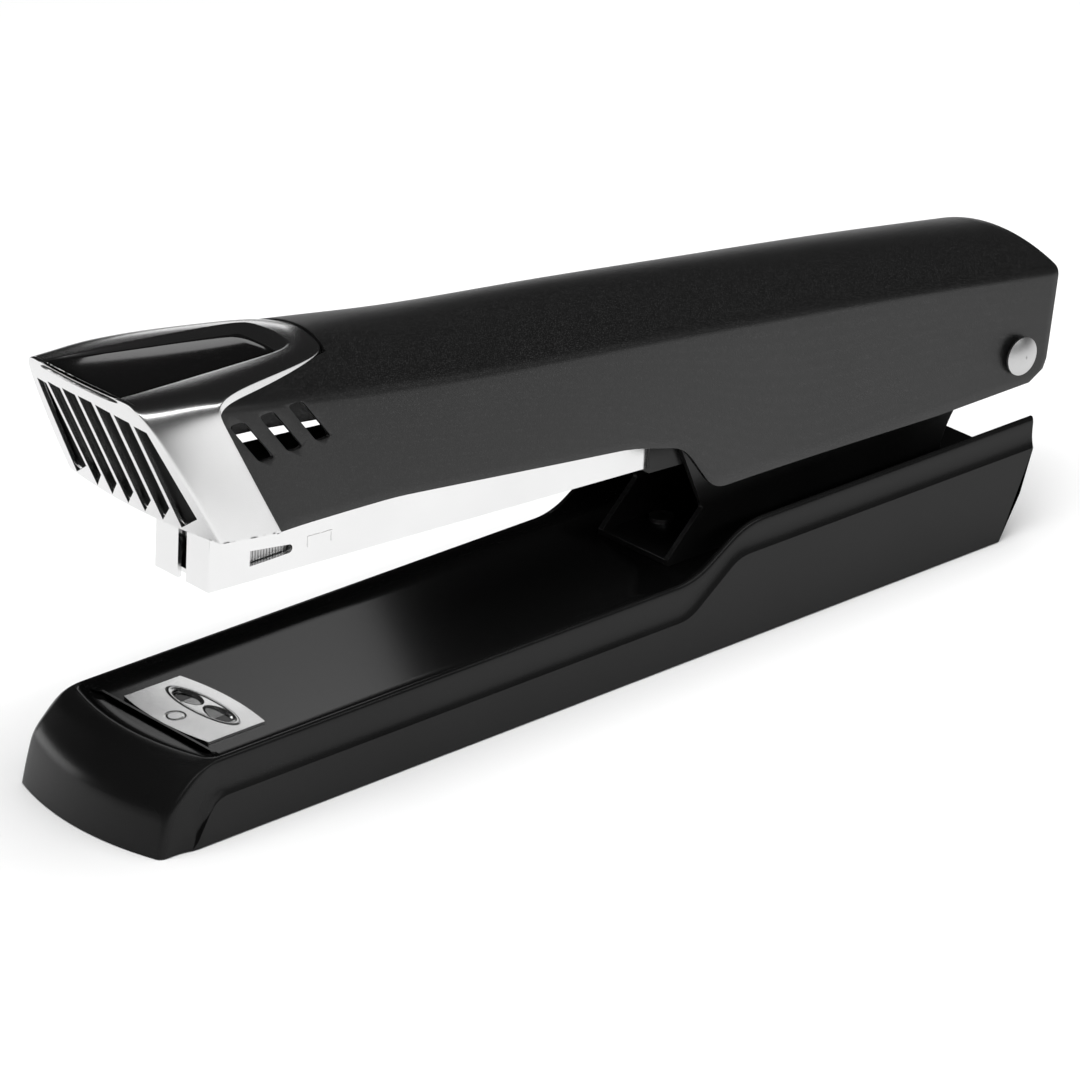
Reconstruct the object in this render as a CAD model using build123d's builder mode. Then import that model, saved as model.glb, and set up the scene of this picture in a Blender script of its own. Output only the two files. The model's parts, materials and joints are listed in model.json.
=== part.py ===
from build123d import *
import math
import os

# Desk stapler with a folded steel cover. Millimetres, +Z up, standing on Z = 0, nose towards -X.
# Lengths along the stapler are counted from the corner line at the front of the base ("station"),
# and every drawing plane below is shifted so that the stapler's middle comes to X = 0.

# ---------------------------------------------------------------- driving dimensions
MIDDLE = 109.70            # station of the middle of the whole stapler

BASE_HALF = 21.4           # half width over the flat side panels
BASE_TAIL = 212.5          # station of the rear end at the rim
BASE_HEEL = 206.0          # station of the rear end at the table
BASE_CORNER_HALF = 20.7    # half width at the front corners
NOSE_BOW = 3.5             # how far the front face bows ahead of its corners
RIM_LOW, RIM_HIGH = 15.5, 23.5
RISE_START, RISE_END = 124.0, 140.0
SHOULDER_DROP, SHOULDER_IN = 7.0, 0.9
WALL_IN = 20.0             # inner half width of the outer shell
TRAY_TOP = 13.7
TRAY_THICK = 1.2
TRAY_LIP = 0.8
TRAY_FRONT, TRAY_FRONT_BOW = 8.0, 3.0
SOLE_THICK = 2.2
TAIL_SILL = 12.5           # height of the low wall at the rear of the trough

PIN_STATION, PIN_Z = 211.0, 36.5
PIN_R = 2.5
RUN_GAP = 0.05             # radial clearance of everything that turns on the pin
HEAD_R, HEAD_RISE = 3.85, 1.4
HEAD_IN = 19.1             # half distance between the heads, just outside the cover
SPACER_OUT = 16.7

ANVIL_FRONT, ANVIL_REAR, ANVIL_HALF, ANVIL_BOW = 17.4, 30.1, 12.2, 1.3
ANVIL_THICK = 0.9
ANVIL_RIVET_STATION = 19.3

BRACKET_HALF, BRACKET_SHEET = 9.8, 1.2

MAG_TILT = 3.4             # degrees, nose up
MAG_HALF, MAG_SHEET, MAG_HEIGHT = 7.6, 0.9, 10.5
MAG_BOTTOM = -7.45         # the magazine's underside, below the pin's axis
MAG_FRONT = -189.2         # distances along the magazine are counted from the pin
CHANNEL_REAR = -58.0
TAB_GAP = 2.4
SLOT = 1.4                 # the staple's way out, between the front tabs and the rail
ARM_HALF, ARM_SHEET = 8.4, 0.75
ARM_FRONT = -86.0
ARM_RIVETS_AT = (-78.0, -66.0)
EYE_R = 6.5

STAPLE_CROWN, STAPLE_LEG, STAPLE_WIRE = 12.8, 6.3, 0.5
STRIP_LENGTH = 49.6
FOLLOWER_LENGTH = 9.0
RAIL_HALF, RAIL_SHEET = 5.8, 0.8
RAIL_REAR = -62.0
ROD_R = 1.2

COVER_SHEET = 0.9
COVER_TAIL = 223.0
TRIM_WALL = 1.5

os.makedirs("parts", exist_ok=True)


# ---------------------------------------------------------------- drawing planes
def side_plane():
    """The lengthwise middle plane: draws (station, height)."""
    return Plane(origin=(-MIDDLE, 0, 0), x_dir=(1, 0, 0), z_dir=(0, -1, 0))


def plan_plane(height):
    """A level plane seen from above: draws (station, y)."""
    return Plane(origin=(-MIDDLE, 0, height))


def cross_plane(station):
    """A plane across the stapler: draws (y, height)."""
    return Plane(origin=(station - MIDDLE, 0, 0), x_dir=(0, 1, 0), z_dir=(1, 0, 0))


tilt = math.radians(MAG_TILT)
pin_point = (PIN_STATION - MIDDLE, 0, PIN_Z)
along = (math.cos(tilt), 0, -math.sin(tilt))
mag_side = Plane(origin=pin_point, x_dir=along, z_dir=(0, -1, 0))
pin_plane = Plane(origin=pin_point, z_dir=(0, 1, 0))


def mag_cross(distance):
    """A plane square to the magazine at a distance from the pin: draws (y, height over the axis)."""
    start = mag_side.from_local_coords(Vector(distance, 0, 0))
    return Plane(origin=start, x_dir=(0, 1, 0), z_dir=along)


def mag_plan(height):
    """A plane parallel to the magazine's floor: draws (distance along, y)."""
    start = mag_side.from_local_coords(Vector(0, height, 0))
    up = Vector(math.sin(tilt), 0, math.cos(tilt))
    return Plane(origin=start, x_dir=along, z_dir=up)


def save(piece, name):
    piece.part.label = name
    export_step(piece.part, f"parts/{name}.step")


# ================================================================ BASE
# The front face is a piece of a turned shape: every height has an arc about the same upright axis.
bow_radius = (BASE_CORNER_HALF**2 + NOSE_BOW**2) / (2 * NOSE_BOW)
bow_centre = bow_radius - NOSE_BOW

with BuildPart() as front_form:
    with BuildSketch(side_plane()):
        with BuildLine():
            Polyline(
                (bow_centre, 0),
                (-NOSE_BOW, 0),
                (-NOSE_BOW + 2.5, 9.5),
                (-NOSE_BOW + 8.5, RIM_LOW),
                (-NOSE_BOW + 8.5, 30),
                (bow_centre, 30),
                close=True,
            )
        make_face()
    revolve(axis=Axis((bow_centre - MIDDLE, 0, 0), (0, 0, 1)))
    with BuildSketch(plan_plane(0)):
        with Locations((bow_centre, 0)):
            Rectangle(180, 60, align=(Align.MIN, Align.CENTER))
    extrude(amount=30)


def rim_outline(foot=0.0):
    """Side view of the base from a height up to its rim, which rises in an S to the trough."""
    with BuildLine() as outline:
        Polyline(
            (RISE_START, RIM_LOW), (-NOSE_BOW - 1, RIM_LOW), (-NOSE_BOW - 1, foot),
            (BASE_HEEL, foot), (BASE_TAIL, RIM_HIGH), (RISE_END, RIM_HIGH),
        )
        half = (RISE_END - RISE_START) / 2
        Bezier(
            (RISE_START, RIM_LOW), (RISE_START + half, RIM_LOW),
            (RISE_END - half, RIM_HIGH), (RISE_END, RIM_HIGH),
        )
    return outline.edges()


def trough_outline(half, rear):
    """Plan of the room inside the shell: a bowed front edge and straight sides."""
    with BuildLine() as outline:
        ThreePointArc(
            (TRAY_FRONT + TRAY_FRONT_BOW, half), (TRAY_FRONT, 0), (TRAY_FRONT + TRAY_FRONT_BOW, -half)
        )
        Polyline(
            (TRAY_FRONT + TRAY_FRONT_BOW, -half), (rear, -half),
            (rear, half), (TRAY_FRONT + TRAY_FRONT_BOW, half),
        )
    return outline.edges()


with BuildPart() as base_shell:
    with BuildSketch(side_plane()):
        make_face(rim_outline())
    extrude(amount=BASE_HALF, both=True)
    tops = base_shell.faces().filter_by(lambda f: f.normal_at().Z > 0.5 and f.center().Z > RIM_LOW - 0.1)
    rim_edges = [e for f in tops for e in f.edges() if abs(e.center().Y) > BASE_HALF - 0.1]
    side = base_shell.faces().filter_by(Axis.Y).sort_by(Axis.Y)
    for flank in (side[0], side[-1]):
        mine = [e for e in rim_edges if e.center().Y * flank.center().Y > 0]
        chamfer(mine, length=SHOULDER_DROP, length2=SHOULDER_IN, reference=flank)
    heel = base_shell.edges().filter_by(Axis.Y).group_by(Axis.Z)[0].sort_by(Axis.X)[-1]
    fillet(heel, radius=4)
    with BuildSketch(plan_plane(0)):
        with BuildLine():
            Polyline(
                (-NOSE_BOW - 5, BASE_CORNER_HALF), (0, BASE_CORNER_HALF), (7, BASE_HALF),
                (BASE_TAIL + 5, BASE_HALF), (BASE_TAIL + 5, -BASE_HALF), (7, -BASE_HALF),
                (0, -BASE_CORNER_HALF), (-NOSE_BOW - 5, -BASE_CORNER_HALF), close=True,
            )
        make_face()
    extrude(amount=40, mode=Mode.INTERSECT)
    add(front_form.part, mode=Mode.INTERSECT)
    with BuildSketch(plan_plane(0)):
        make_face(trough_outline(WALL_IN, BASE_TAIL - 9))
    extrude(amount=40, mode=Mode.SUBTRACT)
    with BuildSketch(plan_plane(TAIL_SILL)):
        with Locations((BASE_TAIL + 5, 0)):
            Rectangle(40, 2 * WALL_IN, align=(Align.MAX, Align.CENTER))
    extrude(amount=40, mode=Mode.SUBTRACT)
save(base_shell, "base_shell")

with BuildPart() as base_tray:
    with BuildSketch(side_plane()):
        make_face(rim_outline(TAIL_SILL))
    extrude(amount=WALL_IN, both=True)
    with BuildSketch(plan_plane(0)):
        make_face(trough_outline(WALL_IN, BASE_TAIL - 3))
    extrude(amount=40, mode=Mode.INTERSECT)
    with BuildSketch(plan_plane(TRAY_TOP)):
        with Locations((TRAY_FRONT + 1.6, 0)):
            Rectangle(230, 2 * (WALL_IN - TRAY_LIP), align=(Align.MIN, Align.CENTER))
    extrude(amount=40, mode=Mode.SUBTRACT)
    with Locations((ANVIL_RIVET_STATION - MIDDLE, 0, 0)):
        Cylinder(1.2, 60, mode=Mode.SUBTRACT)
save(base_tray, "base_tray")

with BuildPart() as base_sole:
    with BuildSketch(plan_plane(0)):
        with Locations(((TRAY_FRONT + BASE_HEEL - 6) / 2 + 3, 0)):
            RectangleRounded(BASE_HEEL - TRAY_FRONT - 12, 2 * WALL_IN - 0.4, 6)
    extrude(amount=SOLE_THICK)
save(base_sole, "base_sole")

# ---------------------------------------------------------------- anvil
with BuildPart() as anvil_plate:
    with BuildSketch(plan_plane(TRAY_TOP)):
        with BuildLine():
            front, rear = ANVIL_FRONT - ANVIL_BOW, ANVIL_REAR + ANVIL_BOW
            ThreePointArc((ANVIL_FRONT, ANVIL_HALF), (front, 0), (ANVIL_FRONT, -ANVIL_HALF))
            Line((ANVIL_FRONT, -ANVIL_HALF), (ANVIL_REAR, -ANVIL_HALF))
            ThreePointArc((ANVIL_REAR, -ANVIL_HALF), (rear, 0), (ANVIL_REAR, ANVIL_HALF))
            Line((ANVIL_REAR, ANVIL_HALF), (ANVIL_FRONT, ANVIL_HALF))
        make_face()
    extrude(amount=ANVIL_THICK)
    # two clinching grooves, end to end across the plate
    with BuildSketch(plan_plane(TRAY_TOP + ANVIL_THICK)):
        with Locations((26, 4.7), (26, -4.7)):
            Ellipse(1.35, 4.5)
    extrude(amount=-0.5, mode=Mode.SUBTRACT)
    with Locations((ANVIL_RIVET_STATION - MIDDLE, 0, 0)):
        Cylinder(1.2, 60, mode=Mode.SUBTRACT)
    upright = anvil_plate.edges().filter_by(Axis.Z)
    upright = upright.filter_by(lambda e: abs(e.center().Y) > ANVIL_HALF - 0.1)
    fillet(upright, radius=0.8)
save(anvil_plate, "anvil_plate")

with BuildPart() as anvil_rivet:
    with BuildSketch(side_plane()):
        rivet_top = TRAY_TOP + ANVIL_THICK
        under = TRAY_TOP - TRAY_THICK
        with BuildLine():
            Polyline(
                (ANVIL_RIVET_STATION, under - 0.6), (ANVIL_RIVET_STATION + 2.2, under - 0.6),
                (ANVIL_RIVET_STATION + 2.2, under), (ANVIL_RIVET_STATION + 1.2, under),
                (ANVIL_RIVET_STATION + 1.2, rivet_top), (ANVIL_RIVET_STATION + 2.2, rivet_top),
                (ANVIL_RIVET_STATION + 2.0, rivet_top + 0.25), (ANVIL_RIVET_STATION, rivet_top + 0.25),
                close=True,
            )
        make_face()
    revolve(axis=Axis((ANVIL_RIVET_STATION - MIDDLE, 0, 0), (0, 0, 1)))
save(anvil_rivet, "anvil_rivet")

# ---------------------------------------------------------------- hinge bracket, pin and lift spring
BRACKET_REAR = 199.0
BRACKET_RIVETS = (140.0, 190.0)

with BuildPart() as hinge_bracket:
    with BuildSketch(side_plane()):
        with BuildLine():
            Polyline(
                (PIN_STATION, PIN_Z + 6.6), (134, 41), (131.1, 37.8), (137.1, 23.2),
                (128.3, TRAY_TOP + BRACKET_SHEET), (128.3, TRAY_TOP), (BRACKET_REAR, TRAY_TOP),
                (BRACKET_REAR, 18),
            )
            ThreePointArc((BRACKET_REAR, 18), (202.5, 24.5), (PIN_STATION + 5.4, PIN_Z - 3.8))
            ThreePointArc(
                (PIN_STATION + 5.4, PIN_Z - 3.8), (PIN_STATION + 6.1, PIN_Z + 2.5),
                (PIN_STATION, PIN_Z + 6.6),
            )
        make_face()
    extrude(amount=BRACKET_HALF, both=True)
    with BuildSketch(side_plane().offset(-BRACKET_HALF + BRACKET_SHEET)):
        with Locations((120, TRAY_TOP + BRACKET_SHEET)):
            Rectangle(120, 60, align=(Align.MIN, Align.MIN))
    extrude(amount=2 * (BRACKET_HALF - BRACKET_SHEET), mode=Mode.SUBTRACT)
    with BuildSketch(pin_plane):
        Circle(PIN_R)
    extrude(amount=40, both=True, mode=Mode.SUBTRACT)
    with Locations(*[(x - MIDDLE, y, 0) for x in BRACKET_RIVETS for y in (-5, 5)]):
        Cylinder(1.25, 60, mode=Mode.SUBTRACT)
save(hinge_bracket, "hinge_bracket")

with BuildPart() as bracket_rivets:
    with Locations(*[(x - MIDDLE, y, TRAY_TOP + BRACKET_SHEET) for x in BRACKET_RIVETS for y in (-5, 5)]):
        Cylinder(2.4, 0.9, align=(Align.CENTER, Align.CENTER, Align.MIN))
        Cylinder(1.25, BRACKET_SHEET, align=(Align.CENTER, Align.CENTER, Align.MAX))
save(bracket_rivets, "bracket_rivets")

HEAD_RIM = 0.4             # the head's straight edge, below its dome
dome = HEAD_RISE - HEAD_RIM
dome_radius = (HEAD_R**2 + dome**2) / (2 * dome)
dome_mid = math.sqrt(dome_radius**2 - (HEAD_R / 2) ** 2) - (dome_radius - dome)

with BuildPart() as hinge_pin:
    with BuildSketch(Plane(origin=pin_point, x_dir=(0, 1, 0), z_dir=(1, 0, 0))):
        with BuildLine() as half_head:
            Polyline((0, 0), (0, PIN_R), (HEAD_IN, PIN_R), (HEAD_IN, HEAD_R), (HEAD_IN + HEAD_RIM, HEAD_R))
            ThreePointArc(
                (HEAD_IN + HEAD_RIM, HEAD_R), (HEAD_IN + HEAD_RIM + dome_mid, HEAD_R / 2),
                (HEAD_IN + HEAD_RISE, 0),
            )
            Line((HEAD_IN + HEAD_RISE, 0), (0, 0))
        make_face()
    revolve(axis=Axis(pin_point, (0, 1, 0)))
    mirror(about=Plane.XZ)
save(hinge_pin, "hinge_pin")

with BuildPart() as pin_spacers:
    with BuildSketch(pin_plane.offset(BRACKET_HALF)):
        Circle(4)
        Circle(PIN_R, mode=Mode.SUBTRACT)
    extrude(amount=SPACER_OUT - BRACKET_HALF)
    mirror(about=Plane.XZ)
save(pin_spacers, "pin_spacers")

with BuildPart() as lift_spring:
    with BuildSketch(side_plane()):
        with BuildLine():
            foot = TRAY_TOP + BRACKET_SHEET
            Polyline(
                (184, foot), (170, foot), (146, 31.1), (140, 31.6), (140, 32.1), (146.2, 31.6),
                (170.2, foot + 0.5), (184, foot + 0.5), close=True,
            )
        make_face()
    extrude(amount=3.4, both=True)
save(lift_spring, "lift_spring")

# ================================================================ MAGAZINE
def u_section(half, bottom, height, sheet):
    """A square U, open at the top."""
    with Locations((0, bottom)):
        Rectangle(2 * half, height, align=(Align.CENTER, Align.MIN))
    with Locations((0, bottom + sheet)):
        Rectangle(2 * (half - sheet), height, align=(Align.CENTER, Align.MIN), mode=Mode.SUBTRACT)


with BuildPart() as magazine_channel:
    with BuildSketch(mag_cross(MAG_FRONT)):
        u_section(MAG_HALF, MAG_BOTTOM, MAG_HEIGHT, MAG_SHEET)
    extrude(amount=CHANNEL_REAR - MAG_FRONT)
    # the staple's way out, between the tabs and the floor
    with BuildSketch(mag_plan(MAG_BOTTOM - 1)):
        with Locations((MAG_FRONT, 0)):
            Rectangle(MAG_SHEET + SLOT, 2 * (MAG_HALF - MAG_SHEET), align=(Align.MIN, Align.CENTER))
    extrude(amount=3, mode=Mode.SUBTRACT)
    # two front tabs with a narrow gap between them
    with BuildSketch(mag_cross(MAG_FRONT)):
        for way in (-1, 1):
            with Locations((way * (TAB_GAP / 2 + MAG_HALF) / 2, MAG_BOTTOM)):
                Rectangle(MAG_HALF - TAB_GAP / 2, MAG_HEIGHT, align=(Align.CENTER, Align.MIN))
    extrude(amount=MAG_SHEET)
    # the window in each side that shows how many staples are left
    with BuildSketch(mag_side):
        with BuildLine():
            Polyline((-180, -4.6), (-180, -1.7), (-171.2, -2.5))
            ThreePointArc((-171.2, -2.5), (-170.4, -3.3), (-171.2, -4.1))
            Line((-171.2, -4.1), (-180, -4.6))
        make_face()
    extrude(amount=20, both=True, mode=Mode.SUBTRACT)
    for distance in ARM_RIVETS_AT:
        rivet_spot = mag_side.from_local_coords(Vector(distance, -1, 0))
        with BuildSketch(Plane(origin=rivet_spot, z_dir=(0, 1, 0))):
            Circle(1.25)
        extrude(amount=20, both=True, mode=Mode.SUBTRACT)
save(magazine_channel, "magazine_channel")

with BuildPart() as magazine_arm:
    with BuildSketch(mag_side):
        with BuildLine():
            Polyline((0, EYE_R), (-20, 3.4), (ARM_FRONT + 4, 3.0), (ARM_FRONT, -1))
            Polyline((ARM_FRONT, -1), (ARM_FRONT, -8.2), (-2, -8.2))
            ThreePointArc((-2, -8.2), (EYE_R, -1), (0, EYE_R))
        make_face()
    extrude(amount=ARM_HALF, both=True)
    with BuildSketch(mag_side.offset(-ARM_HALF + ARM_SHEET)):
        with Locations((ARM_FRONT - 5, MAG_BOTTOM)):
            Rectangle(140, 40, align=(Align.MIN, Align.MIN))
    extrude(amount=2 * (ARM_HALF - ARM_SHEET), mode=Mode.SUBTRACT)
    with BuildSketch(pin_plane):
        Circle(PIN_R + RUN_GAP)
    extrude(amount=40, both=True, mode=Mode.SUBTRACT)
    for distance in ARM_RIVETS_AT:
        rivet_spot = mag_side.from_local_coords(Vector(distance, -1, 0))
        with BuildSketch(Plane(origin=rivet_spot, z_dir=(0, 1, 0))):
            Circle(1.25)
        extrude(amount=20, both=True, mode=Mode.SUBTRACT)
save(magazine_arm, "magazine_arm")

with BuildPart() as arm_rivets:
    for distance in ARM_RIVETS_AT:
        spot = mag_side.from_local_coords(Vector(distance, -1, 0))
        for way in (-1, 1):
            inner, outer = MAG_HALF - MAG_SHEET, ARM_HALF
            with BuildSketch(Plane(origin=spot, z_dir=(0, way, 0)).offset(inner)):
                Circle(1.25)
            extrude(amount=outer - inner)
            with BuildSketch(Plane(origin=spot, z_dir=(0, way, 0)).offset(inner)):
                Circle(2.1)
            extrude(amount=-0.5)
save(arm_rivets, "arm_rivets")

rail_front = MAG_FRONT + MAG_SHEET + SLOT
floor_top = MAG_BOTTOM + MAG_SHEET
strip_top = floor_top + STAPLE_LEG
rail_top = strip_top - STAPLE_WIRE - 0.1
follower_front = rail_front + STRIP_LENGTH

with BuildPart() as staple_rail:
    with BuildSketch(mag_cross(rail_front)):
        with Locations((0, floor_top)):
            Rectangle(2 * RAIL_HALF, rail_top - floor_top, align=(Align.CENTER, Align.MIN))
            Rectangle(
                2 * (RAIL_HALF - RAIL_SHEET), rail_top - floor_top - RAIL_SHEET,
                align=(Align.CENTER, Align.MIN), mode=Mode.SUBTRACT,
            )
    extrude(amount=RAIL_REAR - rail_front)
    # the follower's web runs in a slot along the rail's top
    with BuildSketch(mag_plan(rail_top - 2)):
        with Locations((follower_front - 2, 0)):
            Rectangle(RAIL_REAR - follower_front - 2, 3, align=(Align.MIN, Align.CENTER))
    extrude(amount=4, mode=Mode.SUBTRACT)
save(staple_rail, "staple_rail")

with BuildPart() as staple_strip:
    with BuildSketch(mag_cross(rail_front)):
        with Locations((0, floor_top)):
            Rectangle(STAPLE_CROWN, STAPLE_LEG, align=(Align.CENTER, Align.MIN))
            Rectangle(
                STAPLE_CROWN - 2 * STAPLE_WIRE, STAPLE_LEG - STAPLE_WIRE,
                align=(Align.CENTER, Align.MIN), mode=Mode.SUBTRACT,
            )
    extrude(amount=STRIP_LENGTH - 0.05)
save(staple_strip, "staple_strip")

ROD_Y = -3.9
with BuildPart() as follower:
    # saddle over the rail
    with BuildSketch(mag_cross(follower_front)):
        with Locations((0, floor_top + 0.1)):
            Rectangle(12.8, 7.2, align=(Align.CENTER, Align.MIN))
            Rectangle(
                2 * RAIL_HALF + 0.2, rail_top - floor_top, align=(Align.CENTER, Align.MIN),
                mode=Mode.SUBTRACT,
            )
    extrude(amount=FOLLOWER_LENGTH)
    # web through the rail's slot and a boss on the rod
    with BuildSketch(mag_cross(follower_front + 2)):
        with Locations((0, ROD_Y)):
            Rectangle(2.4, 5.5, align=(Align.CENTER, Align.MIN))
            Rectangle(7, 4)
    extrude(amount=FOLLOWER_LENGTH - 3)
    with BuildSketch(mag_cross(follower_front)):
        with Locations((0, ROD_Y)):
            Circle(ROD_R + 0.08)
    extrude(amount=20, mode=Mode.SUBTRACT)
save(follower, "follower")

with BuildPart() as follower_rod:
    with BuildSketch(mag_cross(rail_front + 1)):
        with Locations((0, ROD_Y)):
            Circle(ROD_R)
    extrude(amount=RAIL_REAR - rail_front - 1)
save(follower_rod, "follower_rod")

with BuildPart() as rod_anchor:
    with BuildSketch(mag_cross(RAIL_REAR - 1.5)):
        with Locations((0, floor_top)):
            Rectangle(2 * (RAIL_HALF - RAIL_SHEET), rail_top - floor_top - RAIL_SHEET,
                      align=(Align.CENTER, Align.MIN))
        with Locations((0, ROD_Y)):
            Circle(ROD_R, mode=Mode.SUBTRACT)
    extrude(amount=1.5)
save(rod_anchor, "rod_anchor")

SPRING_R, SPRING_WIRE = 1.95, 0.22
spring_start = follower_front + FOLLOWER_LENGTH - 1 + SPRING_WIRE + 0.05
spring_end = RAIL_REAR - 1.5 - SPRING_WIRE - 0.05
with BuildPart() as follower_spring:
    coil_axis = mag_cross(spring_start).from_local_coords(Vector(0, ROD_Y, 0))
    with BuildLine() as coil_line:
        Helix(
            pitch=(spring_end - spring_start) / 22, height=spring_end - spring_start,
            radius=SPRING_R, center=coil_axis, direction=along,
        )
    with BuildSketch(Plane(origin=coil_line.line @ 0, z_dir=coil_line.line % 0)):
        Circle(SPRING_WIRE)
    sweep(path=coil_line.line, is_frenet=True)
save(follower_spring, "follower_spring")

# ================================================================ COVER
# Cross sections of the folded cover:
# station, crown height, crease (half width, height), foot (half width, height)
SECTIONS = (
    (-4.0, 85.0, 14.6, 84.2, 20.3, 50.0),
    (14.0, 84.6, 17.5, 81.2, 22.2, 50.0),
    (40.0, 82.8, 17.6, 76.2, 21.9, 46.0),
    (75.0, 76.8, 17.5, 70.7, 20.9, 40.0),
    (110.0, 72.0, 17.4, 66.4, 19.9, 36.0),
    (145.0, 66.9, 17.3, 61.9, 18.9, 28.0),
    (185.0, 60.8, 17.2, 56.6, 19.0, 25.0),
    (COVER_TAIL, 54.5, 17.0, 50.8, 19.3, 22.0),
)


def cover_form(inset):
    """The cover as a solid form; inset moves its surface inwards."""
    with BuildPart() as form:
        for station, crown, crease_y, crease_z, foot_y, foot_z in SECTIONS:
            grow = 0 if inset == 0 else 1
            place = station - grow if station < 0 else station + grow if station == COVER_TAIL else station
            with BuildSketch(cross_plane(place)):
                with BuildLine():
                    ThreePointArc(
                        (-crease_y + inset, crease_z - 0.6 * inset), (0, crown - inset),
                        (crease_y - inset, crease_z - 0.6 * inset),
                    )
                    Polyline(
                        (crease_y - inset, crease_z - 0.6 * inset), (foot_y - inset, foot_z - 2 * grow),
                        (-foot_y + inset, foot_z - 2 * grow), (-crease_y + inset, crease_z - 0.6 * inset),
                    )
                make_face()
        loft()
    return form.part


FACE_TOP = (0.6, 84.6)      # the nose's front face leans back from here
FACE_FOOT = (13.9, 57.0)
lean = math.hypot(FACE_FOOT[0] - FACE_TOP[0], FACE_TOP[1] - FACE_FOOT[1])
down = ((FACE_FOOT[0] - FACE_TOP[0]) / lean, (FACE_FOOT[1] - FACE_TOP[1]) / lean)
ahead = (down[1], -down[0])                     # the face's outward direction
TRIM_DEPTH = 11.4


def face_point(depth, drop):
    """A point that lies depth behind the front face and drop below its top edge, in side view."""
    return (
        FACE_TOP[0] - ahead[0] * depth + down[0] * drop,
        FACE_TOP[1] - ahead[1] * depth + down[1] * drop,
    )


def behind_face(depth):
    """Side view of everything behind a plane parallel to the front face."""
    with BuildLine() as outline:
        Polyline(
            face_point(depth, -20), face_point(depth, 60), (COVER_TAIL + 10, 0), (COVER_TAIL + 10, 120),
            close=True,
        )
    return outline.edges()


def lower_edge():
    """Side view of the cover down to its lower edge."""
    with BuildLine() as outline:
        FilletPolyline(
            (COVER_TAIL - 0.1, 51), (217.8, 30), (189, 30), (131.2, 31.9), (123.9, 42.3), (111, 45.9),
            (54.4, 53.4), (30, 55.1), (14.8, 55.5), radius=2.5,
        )
        Polyline((14.8, 55.5), (-10, 55.5), (-10, 120), (COVER_TAIL - 0.1, 120), (COVER_TAIL - 0.1, 51))
    return outline.edges()


outer_form = cover_form(0)
inner_form = cover_form(COVER_SHEET)

with BuildPart() as cover_whole:
    add(outer_form)
    with BuildSketch(side_plane()):
        make_face(behind_face(0))
    extrude(amount=60, both=True, mode=Mode.INTERSECT)
    with BuildSketch(side_plane()):
        make_face(lower_edge())
    extrude(amount=60, both=True, mode=Mode.INTERSECT)

with BuildPart() as cover_room:
    add(inner_form)
    with BuildSketch(side_plane()):
        make_face(behind_face(TRIM_WALL))
    extrude(amount=60, both=True, mode=Mode.INTERSECT)

# The nose trim takes the front of the form and a wedge of its top
WING_TIP, WING_HALF, WING_ROOT_HALF = 47.5, 9.8, 18.3
with BuildPart() as trim_region:
    with BuildSketch(side_plane()):
        with BuildLine():
            Polyline(
                face_point(TRIM_DEPTH, -30), face_point(TRIM_DEPTH, 60), face_point(-30, 60),
                face_point(-30, -30), close=True,
            )
        make_face()
    extrude(amount=60, both=True)
    with BuildSketch(plan_plane(77)):
        with BuildLine():
            Polyline((5, WING_ROOT_HALF), (15.5, WING_ROOT_HALF), (WING_TIP, WING_HALF))
            ThreePointArc((WING_TIP, WING_HALF), (WING_TIP + 2, 0), (WING_TIP, -WING_HALF))
            Polyline(
                (WING_TIP, -WING_HALF), (15.5, -WING_ROOT_HALF), (5, -WING_ROOT_HALF), (5, WING_ROOT_HALF)
            )
        make_face()
    extrude(amount=20)

SLOT_TOP, SLOT_FOOT = (20.6, 76.5), (26.0, 68.5)
SIDE_SLOTS, SIDE_SLOT_PITCH, SIDE_SLOT_WIDTH = 3, 6.6, 2.6
with BuildPart() as cover_shell:
    add(cover_whole.part)
    add(cover_room.part, mode=Mode.SUBTRACT)
    add(trim_region.part, mode=Mode.SUBTRACT)
    with BuildSketch(side_plane()):
        for turn in range(SIDE_SLOTS):
            shift = turn * SIDE_SLOT_PITCH
            middle = ((SLOT_TOP[0] + SLOT_FOOT[0]) / 2 + shift, (SLOT_TOP[1] + SLOT_FOOT[1]) / 2)
            rise, run = SLOT_TOP[1] - SLOT_FOOT[1], SLOT_FOOT[0] - SLOT_TOP[0]
            with Locations(Location(middle, math.degrees(math.atan2(run, rise)))):
                RectangleRounded(SIDE_SLOT_WIDTH, math.hypot(rise, run), 0.8)
    extrude(amount=60, both=True, mode=Mode.SUBTRACT)
    with BuildSketch(pin_plane):
        Circle(PIN_R + RUN_GAP)
    extrude(amount=40, both=True, mode=Mode.SUBTRACT)
save(cover_shell, "cover_shell")

# ---------------------------------------------------------------- nose trim and push pad
PAD_FRONT, PAD_REAR = 1.2, 39.2
PAD_FRONT_HALF, PAD_REAR_HALF = 11.0, 5.4
PAD_FRONT_Z, PAD_REAR_Z = 84.0, 80.7     # the pad slopes down to the rear
PAD_THICK = 2.2
FACE_SLOTS = 7
FACE_SLOT_PITCH, FACE_SLOT_HALF = 4.8, 1.7
face_plane = Plane(
    origin=(FACE_TOP[0] - MIDDLE, 0, FACE_TOP[1]), x_dir=(0, 1, 0), z_dir=(-ahead[0], 0, -ahead[1])
)


def pad_outline(gap):
    """Plan of the push pad, wide in front; gap makes it larger all round."""
    with BuildLine() as outline:
        Polyline(
            (PAD_FRONT - gap, PAD_FRONT_HALF + gap), (PAD_REAR + gap, PAD_REAR_HALF + gap),
            (PAD_REAR + gap, -PAD_REAR_HALF - gap), (PAD_FRONT - gap, -PAD_FRONT_HALF - gap), close=True,
        )
    return outline.edges()


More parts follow.
